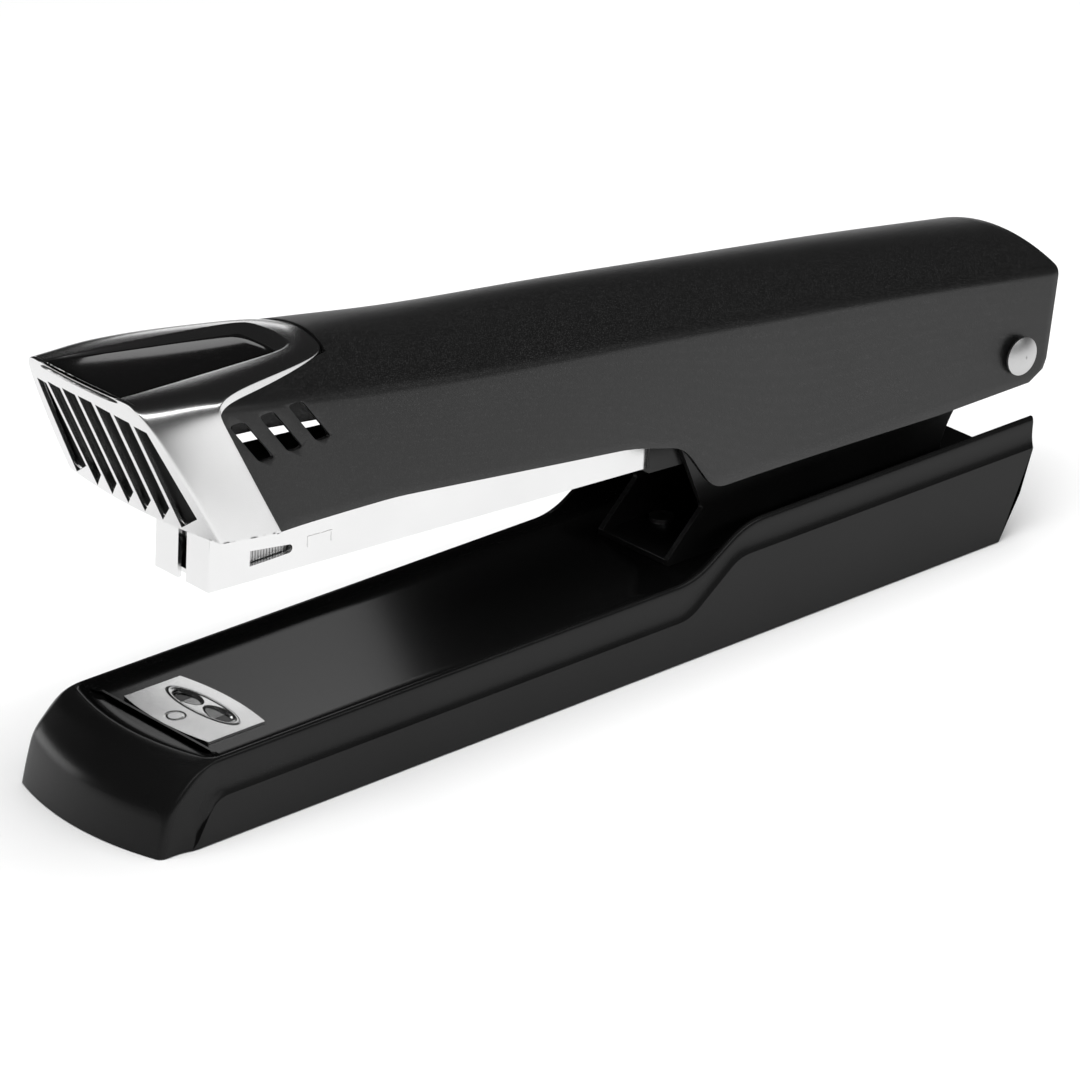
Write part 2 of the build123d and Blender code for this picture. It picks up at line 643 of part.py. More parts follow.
with BuildPart() as nose_trim:
    add(cover_whole.part)
    add(cover_room.part, mode=Mode.SUBTRACT)
    add(trim_region.part, mode=Mode.INTERSECT)
    with BuildSketch(plan_plane(76)):
        make_face(pad_outline(0.25))
    extrude(amount=20, mode=Mode.SUBTRACT)
    # seven slots side by side, each closed by a slanting line at its foot
    with BuildSketch(face_plane):
        for turn in range(FACE_SLOTS):
            middle = FACE_SLOT_PITCH * (turn - (FACE_SLOTS - 1) / 2)
            with BuildLine():
                Polyline(
                    (middle - FACE_SLOT_HALF, -4.6), (middle + FACE_SLOT_HALF, -4.6),
                    (middle + FACE_SLOT_HALF, -29.2), (middle - FACE_SLOT_HALF, -25.6), close=True,
                )
            make_face()
    extrude(amount=TRIM_WALL + 0.5, mode=Mode.SUBTRACT)
save(nose_trim, "nose_trim")

with BuildPart() as push_pad:
    with BuildSketch(side_plane()):
        with BuildLine():
            Polyline(
                (PAD_FRONT, PAD_FRONT_Z), (PAD_REAR, PAD_REAR_Z), (PAD_REAR, PAD_REAR_Z - PAD_THICK),
                (PAD_FRONT, PAD_FRONT_Z - PAD_THICK), close=True,
            )
        make_face()
    extrude(amount=20, both=True)
    with BuildSketch(plan_plane(70)):
        make_face(pad_outline(0))
    extrude(amount=20, mode=Mode.INTERSECT)
    fillet(push_pad.faces().sort_by(Axis.Z)[-1].edges(), radius=0.4)
    with BuildSketch(side_plane()):
        make_face(behind_face(TRIM_WALL * 0.2))
    extrude(amount=60, both=True, mode=Mode.INTERSECT)
save(push_pad, "push_pad")

# ---------------------------------------------------------------- driver
BLADE_HALF, BLADE_THICK = 6.3, 0.6
blade_middle = MAG_FRONT + MAG_SHEET + SLOT / 2
BLADE_TIP, BLADE_TOP = 0.35, 12.0
ARM_BOTTOM_FRONT, ARM_BOTTOM_REAR = 10.4, 5.2

with BuildPart() as driver_blade:
    with BuildSketch(mag_side):
        with Locations((blade_middle, BLADE_TIP)):
            Rectangle(BLADE_THICK, BLADE_TOP - BLADE_TIP, align=(Align.CENTER, Align.MIN))
    extrude(amount=BLADE_HALF, both=True)
save(driver_blade, "driver_blade")

with BuildPart() as driver_arm:
    blade_back = blade_middle + BLADE_THICK / 2
    with BuildSketch(mag_side):
        with BuildLine():
            Polyline(
                (blade_back, ARM_BOTTOM_FRONT), (blade_back, ARM_BOTTOM_FRONT + 2.6),
                (-10, ARM_BOTTOM_REAR + 2.6), (0, 5), (4, 0), (0, -4.6), (-6, 0),
                (-14, ARM_BOTTOM_REAR), close=True,
            )
        make_face()
    extrude(amount=6, both=True)
    with BuildSketch(mag_side.offset(-5)):
        with BuildLine():
            Polyline(
                (blade_back + 12, ARM_BOTTOM_FRONT - 3), (blade_back + 12, ARM_BOTTOM_FRONT + 1.35),
                (-20, ARM_BOTTOM_REAR + 1.7), (-9, 10), (20, 10), (20, -12), (-9, -12), close=True,
            )
        make_face()
    extrude(amount=10, mode=Mode.SUBTRACT)
    with BuildSketch(pin_plane):
        Circle(PIN_R + RUN_GAP)
    extrude(amount=40, both=True, mode=Mode.SUBTRACT)
save(driver_arm, "driver_arm")

INSERT_FOOT = 13.0
with BuildPart() as nose_insert:
    with BuildSketch(mag_side):
        with BuildLine():
            Polyline(
                (blade_middle - 3.2, INSERT_FOOT), (blade_middle + 4, INSERT_FOOT),
                (blade_middle + 4, 30), (blade_middle - 12, 30), close=True,
            )
        make_face()
    extrude(amount=6, both=True)
    with BuildSketch(plan_plane(PAD_REAR_Z - PAD_THICK - 0.5)):
        Rectangle(120, 60)
    extrude(amount=40, mode=Mode.SUBTRACT)
    with BuildSketch(side_plane()):
        make_face(behind_face(TRIM_WALL))
    extrude(amount=60, both=True, mode=Mode.INTERSECT)
save(nose_insert, "nose_insert")

with BuildPart() as driver_rivets:
    with BuildSketch(mag_plan(ARM_BOTTOM_FRONT + 2.55)):
        with Locations((blade_back + 8, 2.6), (blade_back + 8, -2.6)):
            Circle(1.6)
    extrude(amount=0.5)
save(driver_rivets, "driver_rivets")

with BuildPart() as return_spring:
    with BuildSketch(mag_side):
        with BuildLine():
            Polyline(
                (-70, 4.2), (-96, 1.2), (-102, 1.8), (-102, 2.3), (-96, 1.7), (-70, 4.7), (-52, 6.6),
                (-52, 6.1), close=True,
            )
        make_face()
    extrude(amount=3, both=True)
save(return_spring, "return_spring")
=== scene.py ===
# %% [markdown]
# # A desk stapler, dressed for its portrait
# The mechanism comes ready made: a frame of rigid bodies with hinges, in metres. Blender's job is what
# the eye sees. Pieces whose shape already serves keep their mesh and get a finish, and the big pressed
# and moulded shells are built again here as smooth surfaces, because reflections show every facet.

# %% Load the frame
import json
import math

import bmesh
import bpy
import numpy as np
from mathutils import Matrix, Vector


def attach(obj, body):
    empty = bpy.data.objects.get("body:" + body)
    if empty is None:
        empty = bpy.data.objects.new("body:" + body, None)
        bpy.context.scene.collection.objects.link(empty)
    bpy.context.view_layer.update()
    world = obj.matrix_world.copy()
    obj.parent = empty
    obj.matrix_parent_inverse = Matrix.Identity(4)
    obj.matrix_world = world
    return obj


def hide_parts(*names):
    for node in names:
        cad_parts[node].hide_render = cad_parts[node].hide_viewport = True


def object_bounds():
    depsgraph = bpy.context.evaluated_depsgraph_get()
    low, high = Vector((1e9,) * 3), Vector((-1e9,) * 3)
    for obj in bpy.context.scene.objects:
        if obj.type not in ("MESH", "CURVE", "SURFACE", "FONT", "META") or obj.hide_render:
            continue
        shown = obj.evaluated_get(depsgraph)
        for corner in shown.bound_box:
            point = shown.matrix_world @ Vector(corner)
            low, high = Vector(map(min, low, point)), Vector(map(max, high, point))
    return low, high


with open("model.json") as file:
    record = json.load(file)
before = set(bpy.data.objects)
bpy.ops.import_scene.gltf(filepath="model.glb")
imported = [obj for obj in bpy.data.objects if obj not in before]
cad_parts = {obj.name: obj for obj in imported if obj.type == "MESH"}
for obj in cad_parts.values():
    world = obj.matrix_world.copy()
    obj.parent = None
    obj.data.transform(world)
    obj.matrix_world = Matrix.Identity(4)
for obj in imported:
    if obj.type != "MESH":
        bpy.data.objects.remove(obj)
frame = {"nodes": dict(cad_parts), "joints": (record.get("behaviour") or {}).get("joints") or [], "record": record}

cad_low, cad_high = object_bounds()
print("frame holds", len(frame["nodes"]), "nodes")
print("its size in mm is", [round(1000 * v, 1) for v in cad_high - cad_low])

# %% [markdown]
# A maker measures a stapler from the front of its base, in millimetres. `at` turns such a place into
# Blender's metres. The pin that everything turns on is read from the hinge joint.

# %% A ruler
MM = 0.001
NOSE_BOW = 3.5           # the base bows this far ahead of its front corners


def at(station, y, z):
    """A place counted from the base's front corners, in millimetres, as a point in metres."""
    return Vector((cad_low.x + (station + NOSE_BOW) * MM, y * MM, z * MM))


pin = Vector(next(j["pos_m"] for j in frame["joints"] if j["name"] == "cover_hinge"))
print("the pin is at", [round(1000 * v, 2) for v in pin])

# %% [markdown]
# Most shells here are rows of points joined by quads. Rows keep the design readable: each row is a
# line that a toolmaker would scribe on the part. `skin` joins them, and `finished` bakes the modifiers
# into the mesh, so that helpers used for cutting can be thrown away.

# %% Making a skin from rows of points
def link(name, mesh):
    piece = bpy.data.objects.new(name, mesh)
    bpy.context.scene.collection.objects.link(piece)
    return piece


def skin(name, rows, around=False):
    """Joins rows of points with quads; around also joins the last row to the first."""
    count = len(rows[0])
    points = [p for row in rows for p in row]
    last = len(rows) if around else len(rows) - 1
    faces = []
    for r in range(last):
        a, b = r * count, (r + 1) % len(rows) * count
        faces += [(a + c, a + c + 1, b + c + 1, b + c) for c in range(count - 1)]
    mesh = bpy.data.meshes.new(name)
    mesh.from_pydata(points, [], faces)
    tidy_mesh(mesh)
    return link(name, mesh)


def tidy_mesh(mesh, gap=1e-6):
    """Merges doubled points, drops empty faces and points every face outwards."""
    work = bmesh.new()
    work.from_mesh(mesh)
    bmesh.ops.remove_doubles(work, verts=work.verts, dist=gap)
    bmesh.ops.dissolve_degenerate(work, edges=work.edges, dist=gap)
    bmesh.ops.recalc_face_normals(work, faces=work.faces)
    work.to_mesh(mesh)
    work.free()


def finished(piece, smooth=35):
    """Bakes the modifiers and shades smooth except over edges sharper than the given angle."""
    view = bpy.context.evaluated_depsgraph_get()
    mesh = bpy.data.meshes.new_from_object(piece.evaluated_get(view))
    piece.modifiers.clear()
    piece.data = mesh
    mesh.polygons.foreach_set("use_smooth", [True] * len(mesh.polygons))
    mesh.set_sharp_from_angle(angle=math.radians(smooth))
    print(piece.name, "has", len(mesh.polygons), "faces")
    return piece


def modify(piece, kind, **settings):
    """Adds a modifier with its settings."""
    made = piece.modifiers.new(kind.title(), kind)
    for key, value in settings.items():
        setattr(made, key, value)
    return made


# %% [markdown]
# Long shells need curves that bend without a kink. A natural cubic spline through a few known heights
# does that: it solves one small set of equations for the slopes and has no visible joints.

# %% Smooth curves through a few known points
class Curve:
    """A natural cubic spline through (place, value) pairs."""

    def __init__(self, places, values):
        self.x, self.y = np.array(places, float), np.array(values, float)
        n, h = len(self.x), np.diff(self.x)
        system, right = np.eye(n), np.zeros(n)
        for i in range(1, n - 1):
            system[i, i - 1:i + 2] = h[i - 1], 2 * (h[i - 1] + h[i]), h[i]
            right[i] = 6 * ((self.y[i + 1] - self.y[i]) / h[i] - (self.y[i] - self.y[i - 1]) / h[i - 1])
        self.bend, self.h = np.linalg.solve(system, right), h

    def __call__(self, x):
        i = int(np.clip(np.searchsorted(self.x, x) - 1, 0, len(self.h) - 1))
        h, left, right = self.h[i], self.x[i + 1] - x, x - self.x[i]
        m0, m1, y0, y1 = self.bend[i], self.bend[i + 1], self.y[i], self.y[i + 1]
        bent = (m0 * left**3 + m1 * right**3) / (6 * h)
        return bent + (y0 / h - m0 * h / 6) * left + (y1 / h - m1 * h / 6) * right


def rounded(corners, radius, steps=6):
    """A dense polyline with its corners rounded, for outlines."""
    corners = [np.array(c, float) for c in corners]
    path = [corners[0]]
    for before, corner, after in zip(corners, corners[1:], corners[2:]):
        reach = min(radius, np.linalg.norm(before - corner) / 2, np.linalg.norm(after - corner) / 2)
        start = corner + reach * (before - corner) / np.linalg.norm(before - corner)
        end = corner + reach * (after - corner) / np.linalg.norm(after - corner)
        for t in np.linspace(0, 1, steps):
            path.append((1 - t) ** 2 * start + 2 * t * (1 - t) * corner + t**2 * end)
    path.append(corners[-1])
    return np.array(path)


# %% [markdown]
# ## Finishes
# Every finish is a Principled shader with a few nodes for what varies over the surface. Node trees are
# easier to read as sums, so a small class wraps a socket: adding two wires adds a Math node.

# %% Shader maths as plain expressions
class Wire:
    """A value in a material, with the operators that sums of values need."""

    def __init__(self, finish, socket):
        self.finish, self.socket = finish, socket

    def combine(self, operation, first, second):
        return self.finish.node("ShaderNodeMath", {"operation": operation}, {0: first, 1: second})

    def __add__(self, other):
        return self.combine("ADD", self, other)

    def __sub__(self, other):
        return self.combine("SUBTRACT", self, other)

    def __rsub__(self, other):
        return self.combine("SUBTRACT", other, self)

    def __mul__(self, other):
        return self.combine("MULTIPLY", self, other)

    __radd__, __rmul__ = __add__, __mul__


class Finish:
    """A material built round one Principled shader."""

    def __init__(self, name, **sockets):
        self.material = bpy.data.materials.new(name)
        self.material.use_nodes = True
        self.nodes, self.links = self.material.node_tree.nodes, self.material.node_tree.links
        self.shader = self.nodes["Principled BSDF"]
        self.place = self.node("ShaderNodeTexCoord", output="Object")
        self.set(**sockets)

    def feed(self, socket, value):
        if isinstance(value, Wire):
            self.links.new(value.socket, socket)
        else:
            socket.default_value = value

    def node(self, kind, settings=None, inputs=None, output=0):
        """Adds a node: its settings first, then the values or wires of its sockets."""
        made = self.nodes.new(kind)
        for key, value in (settings or {}).items():
            setattr(made, key, value)
        for key, value in (inputs or {}).items():
            self.feed(made.inputs[key], value)
        return Wire(self, made.outputs[output])

    def set(self, **sockets):
        """Sets the shader's own sockets, written with underscores for spaces."""
        for key, value in sockets.items():
            self.feed(self.shader.inputs[key.replace("_", " ")], value)
        return self

    def noise(self, size, detail=2.0, stretch=None):
        """Noise whose grains are about size metres across, 0 to 1; stretch scales the axes."""
        where = self.place
        if stretch:
            where = self.node("ShaderNodeMapping", {}, {"Vector": where, "Scale": stretch})
        return self.node(
            "ShaderNodeTexNoise", {}, {"Vector": where, "Scale": 1 / size, "Detail": detail}, "Fac"
        )

    def ramp(self, value, low, high):
        """Clamps a value to 0 below low and 1 above high."""
        return self.node(
            "ShaderNodeMapRange", {"clamp": True}, {"Value": value, "From Min": low, "From Max": high}
        )

    def blend(self, factor, first, second):
        """Mixes two colours."""
        return self.node(
            "ShaderNodeMix", {"data_type": "RGBA"}, {0: factor, 6: first, 7: second}, 2
        )

    def bump(self, height, depth, strength):
        """A bump of the given depth in metres."""
        sockets = {"Height": height, "Distance": depth, "Strength": strength}
        return self.node("ShaderNodeBump", {}, sockets, "Normal")


def grey(level, warm=0.0):
    return (level + warm, level, level - warm, 1.0)


# %% [markdown]
# The cover is folded steel under a fine powder coat. Powder melts into a skin with a grain of about a
# fifth of a millimetre, and flakes in it glint. The grain is a shallow bump; the flakes are spots of
# smoother coat where a finer noise peaks, and their lighter colour there is a painted glint.

# %% Powder coat
def powder_coat():
    coat = Finish("powder_coat", Specular_IOR_Level=0.42)
    grain = coat.noise(0.00022, 3.0)
    flake_and_glint = coat.ramp(coat.noise(0.00012, 0.0), 0.66, 0.76)
    cloud = coat.noise(0.03)
    coat.set(
        # the flakes' lighter base colour is a painted glint; their lower roughness is the real flake
        Base_Color=coat.blend(flake_and_glint * 0.5, grey(0.006), grey(0.10)),
        Roughness=0.33 + 0.08 * cloud - 0.12 * flake_and_glint,
        Normal=coat.bump(grain, 0.00003, 0.6),
    )
    return coat.material


# %% [markdown]
# The base is moulded: a matte texture outside and a polished tray inside. The matte mould texture is a
# slightly larger, softer grain than powder. Polished plastic is never perfect, so a very slow ripple
# bends the reflections and a few fine hairlines of wear lift the roughness.

# %% Moulded plastics
def matte_mould():
    mould = Finish("matte_mould", Specular_IOR_Level=0.2)
    grain = mould.noise(0.0004, 2.0)
    rubbed = mould.noise(0.02, 3.0)
    mould.set(
        Base_Color=mould.blend(rubbed, grey(0.004), grey(0.008)),
        Roughness=0.20 + 0.08 * rubbed,
        Normal=mould.bump(grain, 0.00002, 0.4),
    )
    return mould.material


def polished(name, level=0.003, rough=0.09):
    gloss = Finish(name, Specular_IOR_Level=0.14)
    dust = gloss.ramp(gloss.noise(0.0006, 2.0), 0.62, 0.72)
    hair = gloss.ramp(gloss.noise(0.0012, 3.0, (1.0, 14.0, 14.0)), 0.60, 0.70)
    ripple = gloss.noise(0.02, 1.0)
    gloss.set(
        Base_Color=gloss.blend(dust, grey(level), grey(level * 1.8)),
        Roughness=rough + 0.05 * dust + 0.04 * hair,
        Normal=gloss.bump(ripple, 0.00002, 0.5),
    )
    return gloss.material


def soft_black(name, rough, level=0.01):
    rubber = Finish(name, Specular_IOR_Level=0.12)
    grain = rubber.noise(0.0005, 3.0)
    rubber.set(
        Base_Color=rubber.blend(grain, grey(level), grey(1.8 * level)),
        Roughness=rough + 0.12 * grain,
        Normal=rubber.bump(grain, 0.00003, 0.5),
    )
    return rubber.material


# %% [markdown]
# The bright parts differ mostly in how they were worked. Plated sheet keeps faint lines from rolling,
# a turned pin has a satin face, drawn wire and springs are darker, and the nose is a satin chrome.
# All are metals with stretched noise for the tool marks, so one recipe with a few numbers serves.

# %% Metals
def metal(name, level, rough, marks=(1.0, 12.0, 12.0), depth=0.000004, smudge=0.08):
    steel = Finish(name, Metallic=1.0)
    lines = steel.noise(0.0011, 4.0, marks)
    touch = steel.noise(0.012, 3.0)
    steel.set(
        Base_Color=steel.blend(touch, grey(level), grey(level * 0.93)),
        Roughness=rough + smudge * touch + 0.06 * lines,
        Normal=steel.bump(lines, depth, 0.5),
    )
    return steel.material


def enamel():
    paint = Finish("black_enamel", Specular_IOR_Level=0.3)
    peel = paint.noise(0.0015, 2.0)
    wear = paint.noise(0.01, 3.0)
    paint.set(
        Base_Color=paint.blend(wear, grey(0.006), grey(0.014)),
        Roughness=0.24 + 0.12 * wear,
        Normal=paint.bump(peel, 0.00003, 0.4),
    )
    return paint.material


finishes = {
    "cover_powder": powder_coat(),
    "base_black": matte_mould(),
    "tray_gloss": polished("polished_tray", 0.003, 0.16),
    "pad_gloss": polished("polished_pad", 0.003, 0.06),
    "sole_rubber": soft_black("sole_rubber", 0.75),
    "black_plastic": soft_black("plain_black", 0.6, 0.002),
    "bright_steel": metal("plated_sheet", 0.76, 0.15),
    "satin_steel": metal("turned_satin", 0.55, 0.34, (6.0, 6.0, 6.0)),
    "spring_steel": metal("spring_steel", 0.42, 0.30),
    "staple_wire": metal("staple_wire", 0.45, 0.25, (8.0, 1.0, 1.0)),
    "black_steel": enamel(),
    "trim_chrome": metal("satin_chrome", 0.72, 0.16, (3.0, 3.0, 3.0), 0.000001),
}
print("finishes:", ", ".join(finishes))


# %% [markdown]
# A new piece needs four things said about it: its finish, the body it moves with, the record's slot,
# and the node it stands for. Saying them in one call keeps any of them from being forgotten.

# %% Handing a piece over
def hand_over(piece, slot, body, *stands_for):
    piece.data.materials.clear()
    piece.data.materials.append(finishes[slot])
    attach(piece, body)
    if stands_for:
        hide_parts(*stands_for)
    return piece


# %% [markdown]
# ## The cover
# One sheet folded over a former: a crown that flattens towards the hinge, a crease along each side,
# and sides that lean out a little. It could be subdivided from a block, but a folded sheet is what its
# cross section says at each station, so the cover is drawn as sections. The front edge follows the
# nose trim, the lower edge drops in a step to the skirt, and both are reached by sliding the grid.

# %% The cover's cross section
COVER = np.array([
    # station, crown height, crease half width, crease height, foot half width, foot height
    (-4.0, 85.0, 14.6, 84.2, 20.3, 50.0),
    (14.0, 84.6, 17.5, 81.2, 22.2, 50.0),
    (40.0, 82.8, 17.6, 76.2, 21.9, 46.0),
    (75.0, 76.8, 17.5, 70.7, 20.9, 40.0),
    (110.0, 72.0, 17.4, 66.4, 19.9, 36.0),
    (145.0, 66.9, 17.3, 61.9, 18.9, 28.0),
    (185.0, 60.8, 17.2, 56.6, 19.0, 25.0),
    (223.0, 54.5, 17.0, 50.8, 19.3, 22.0),
])
crown, crease_y, crease_z, foot_y, foot_z = (Curve(COVER[:, 0], COVER[:, k]) for k in range(1, 6))
SIDE_ROWS, CORNER_ROWS, DOME_ROWS = 12, 7, 16
CREASE_ROUND = 1.6
COVER_SHEET = 0.9
LOWER_CORNERS = (
    (10, 55.6), (31.8, 55.0), (54.4, 53.4), (111, 45.9), (124.1, 42.2), (131.2, 31.9), (189, 30), (230, 30)
)
lower_edge = rounded(LOWER_CORNERS, 3.2)


def side_y(station, z):
    """Half width of the cover's side at a height."""
    share = (crease_z(station) - z) / (crease_z(station) - foot_z(station))
    return crease_y(station) + share * (foot_y(station) - crease_y(station))


def dome_z(station, y):
    """Height of the crown at a distance from the middle."""
    half, rise = crease_y(station), crown(station) - crease_z(station)
    radius = (half**2 + rise**2) / (2 * rise)
    return crown(station) - radius + math.sqrt(radius**2 - y**2)


def half_section(station):
    """Points (y, z) from the lower edge up the side, round the crease and over to the middle."""
    low = float(np.interp(station, lower_edge[:, 0], lower_edge[:, 1]))
    top, half = crease_z(station), crease_y(station)
    section = [(side_y(station, z), z) for z in np.linspace(low, top - CREASE_ROUND, SIDE_ROWS)]
    inner = half - CREASE_ROUND
    start, end = np.array(section[-1]), np.array((inner, dome_z(station, inner)))
    for t in np.linspace(0, 1, CORNER_ROWS + 2)[1:-1]:
        section.append(tuple((1 - t) ** 2 * start + 2 * t * (1 - t) * np.array((half, top)) + t**2 * end))
    section += [(y, dome_z(station, y)) for y in np.linspace(inner, 0, DOME_ROWS)]
    return section


print("half section at station 110:", len(half_section(110)), "points")

# %% [markdown]
# The sheet doesn't end square. Its front edge leans, then follows the wing of the nose, and its rear
# edge leans with a rounded corner. Trimming a square end with a boolean would leave odd triangles, so
# each row of the grid simply starts and stops where the edge is at its own height.

# %% The cover's ends, where the grid slides
WING_ROOT, WING_TIP, WING_REAR = (15.4, 17.8), (47.3, 9.8), 49.0


def front_station(y, z, on_side):
    """Where the sheet starts: along the leaning flank, then along the trim's wing."""
    if on_side:
        return 15.4 + (81.0 - z) * 0.4535
    if y > WING_TIP[1]:
        return WING_ROOT[0] + (WING_ROOT[1] - y) / (WING_ROOT[1] - WING_TIP[1]) * (WING_TIP[0] - WING_ROOT[0])
    return WING_REAR - (WING_REAR - WING_TIP[0]) * (y / WING_TIP[1]) ** 2


def rear_station(z):
    """Where the sheet ends: a leaning edge with its lower corner rounded."""
    corner = 4.0
    edge = 217.8 + min(max(z - 30, 0), 21) * 0.243
    dip = max(0.0, 30 + corner - z)
    return edge - (corner - math.sqrt(max(corner**2 - dip**2, 0.0)))


def settle(row, first, find):
    """Station at which a row of the section meets an end that depends on its own height."""
    station = first
    for _ in range(12):
        y, z = half_section(station)[row]
        station = find(y, z)
    return station


ROWS = SIDE_ROWS + CORNER_ROWS + DOME_ROWS
starts = [settle(r, 25, lambda y, z: front_station(y, z, r < SIDE_ROWS + 2)) for r in range(ROWS)]
stops = [settle(r, 215, lambda y, z: rear_station(z)) for r in range(ROWS)]
body_stations = np.unique(np.concatenate((np.arange(64, 206, 3.0), np.arange(118, 137, 0.6))))
print("front edge runs from station", round(starts[0], 1), "to", round(starts[-1], 1))

# %% [markdown]
# Now the rows are joined and mirrored and the sheet gets its thickness. The slots are punched with a
# boolean, which suits a real punch: a clean edge at a right angle, broken by a very small bevel.

# %% The cover, sheet and slots
FRONT_COLUMNS, REAR_COLUMNS = 16, 10


def cover_row(row):
    """One line of points along the cover."""
    front = np.linspace(starts[row], body_stations[0], FRONT_COLUMNS, endpoint=False)
    rear = np.linspace(body_stations[-1], stops[row], REAR_COLUMNS + 1)[1:]
    return [(s, *half_section(s)[row]) for s in (*front, *body_stations, *rear)]


half_rows = [cover_row(r) for r in range(ROWS)]
near = [[at(s, -y, z) for s, y, z in row] for row in half_rows]
far = [[at(s, y, z) for s, y, z in row] for row in half_rows[-2::-1]]
cover = skin("cover", near + far)

SIDE_SLOTS, SLOT_PITCH, SLOT_WIDTH = 3, 6.6, 3.4
SLOT_TOP, SLOT_FOOT = (20.4, 76.6), (26.2, 68.4)


def slot_outline(shift):
    """A leaning slot with level, rounded ends, as (station, height)."""
    (top, high), (foot, low) = SLOT_TOP, SLOT_FOOT
    ring = [(top - SLOT_WIDTH / 2, high), (top + SLOT_WIDTH / 2, high), (foot + SLOT_WIDTH / 2, low),
            (foot - SLOT_WIDTH / 2, low)]
    middle = ((ring[0][0] + ring[3][0]) / 2, (high + low) / 2)
    return [Vector((x + shift, z)) for x, z in rounded([middle, *ring, middle], 1.1, 5)[1:]]


def prism(name, outline, place, depths):
    """A closed block from an outline; place(point, depth) gives each corner."""
    count = len(outline)
    points = [place(p, d) for d in depths for p in outline]
    faces = [tuple(range(count)), tuple(range(2 * count - 1, count - 1, -1))]
    faces += [(c, count + c, count + (c + 1) % count, (c + 1) % count) for c in range(count)]
    mesh = bpy.data.meshes.new(name)
    mesh.from_pydata(points, [], faces)
    tidy_mesh(mesh)
    return link(name, mesh)


def carve(piece, tools):
    """Cuts the tools out of a piece and throws them away."""
    for tool in tools:
        modify(piece, "BOOLEAN", operation="DIFFERENCE", object=tool, solver="EXACT")
    finished(piece)
    for tool in tools:
        bpy.data.objects.remove(tool)


modify(cover, "SOLIDIFY", thickness=COVER_SHEET * MM, offset=-1.0)
finished(cover)
carve(cover, [
    prism("slot_tool", slot_outline(k * SLOT_PITCH), lambda p, d: at(p.x, d, p.y), (-40, 40))
    for k in range(SIDE_SLOTS)
])
modify(cover, "BEVEL", width=0.18 * MM, segments=2, limit_method="ANGLE", angle_limit=math.radians(50))
finished(cover)
hand_over(cover, "cover_powder", "cover", "cover_shell")

# %% [markdown]
# ## The nose
# The nose is a bright moulding clipped over the end of the cover: a leaning grille, two flanks, and a
# frame round the push pad with a wing that sweeps back along each side. Its shape is soft between a few
# crisp lines, which is what a subdivision surface with creased edges is for. The cage below is the half
# of it; the other half is its mirror image.

# %% The nose's cage
FACE_TOP, FACE_LEAN, FACE_DOWN = (0.6, 84.5), 0.434, 0.901   # the grille's plane, in side view
face_drops = (0.0, 2.4, 9.0, 16.0, 23.0, 30.6)
face_halves = (14.3, 16.2, 18.0, 19.5, 20.7, 21.6)
face_shares = (0.0, 0.39, 0.776, 1.0)


def face_at(y, drop, depth=0.0):
    """A point on the bowed grille, drop below its top edge and depth behind it."""
    half = float(np.interp(drop, face_drops, face_halves))
    bow = float(np.interp(drop, (0, 30.6), (0.7, 2.0)))
    station = FACE_TOP[0] + FACE_LEAN * drop - bow * (1 - min(abs(y) / half, 1.0) ** 2)
    return (station + FACE_DOWN * depth, y, FACE_TOP[1] - FACE_DOWN * drop + FACE_LEAN * depth)


face = [[face_at(half * s, drop) for s in face_shares] for drop, half in zip(face_drops, face_halves)]
boundary = [
    (15.4, 18.1, 82.3), (18.0, 18.7, 76.4), (20.9, 19.4, 70.0), (23.9, 20.4, 63.0), (27.4, 21.5, 55.1)
]
inner = [
    face[0][2], (14.0, 10.1, 83.6), (28.0, 8.9, 82.7), (41.2, 7.7, 81.7), (42.3, 5.0, 82.0), (42.5, 0, 82.3)
]
middle = [
    face[0][3], (14.4, 14.5, 83.8), (28.4, 12.4, 82.8), (43.2, 9.6, 81.3), (45.2, 5.5, 81.9), (45.6, 0, 82.2)
]
outer = [
    face[1][3], boundary[0], (29.6, 14.8, 81.5), (45.6, 10.5, 80.0), (48.4, 7.0, 80.5), (49.0, 0, 81.6)
]
floor_line = [
    (1.6, 10.8, 83.6), (14.0, 9.0, 82.2), (28.0, 6.9, 80.9),
    (39.4, 5.2, 79.8), (39.8, 3.5, 79.8), (39.9, 0, 79.8),
]


def between(a, b, out=0.0):
    """The point half way between two, moved out sideways."""
    return tuple((p + q) / 2 + extra for p, q, extra in zip(a, b, (0, out, 0)))


for line in (inner, middle, floor_line, outer):
    line.insert(1, between(line[0], line[1], 0.2 if line is outer else 0.0))


def lowered(point, fall, out=0.25):
    station, y, z = point
    return (station + out, y + (out if y > 1 else 0), z - fall)


wing_foot = [lowered(p, fall) for p, fall in zip(outer[2:], (2.0, 2.0, 1.6, 1.4, 1.2))]
print("cage corners:", len(inner), "along the pad,", len(boundary), "down the flank")

# %% [markdown]
# The lines of the cage are joined in strips. The lines that a mould would leave crisp, such as the
# ridge beside the grille and the frame of the pad, are listed for creasing.

# %% Joining the cage
quads, creased = [], []


def strip(first, second):
    """Quads between two lines of the cage."""
    for a, b, c, d in zip(first, first[1:], second[1:], second):
        corners = [p for k, p in enumerate((a, b, c, d)) if p not in (a, b, c, d)[:k]]
        if len(corners) > 2:
            quads.append(corners)


def crease(*points):
    creased.extend(frozenset(pair) for pair in zip(points, points[1:]))


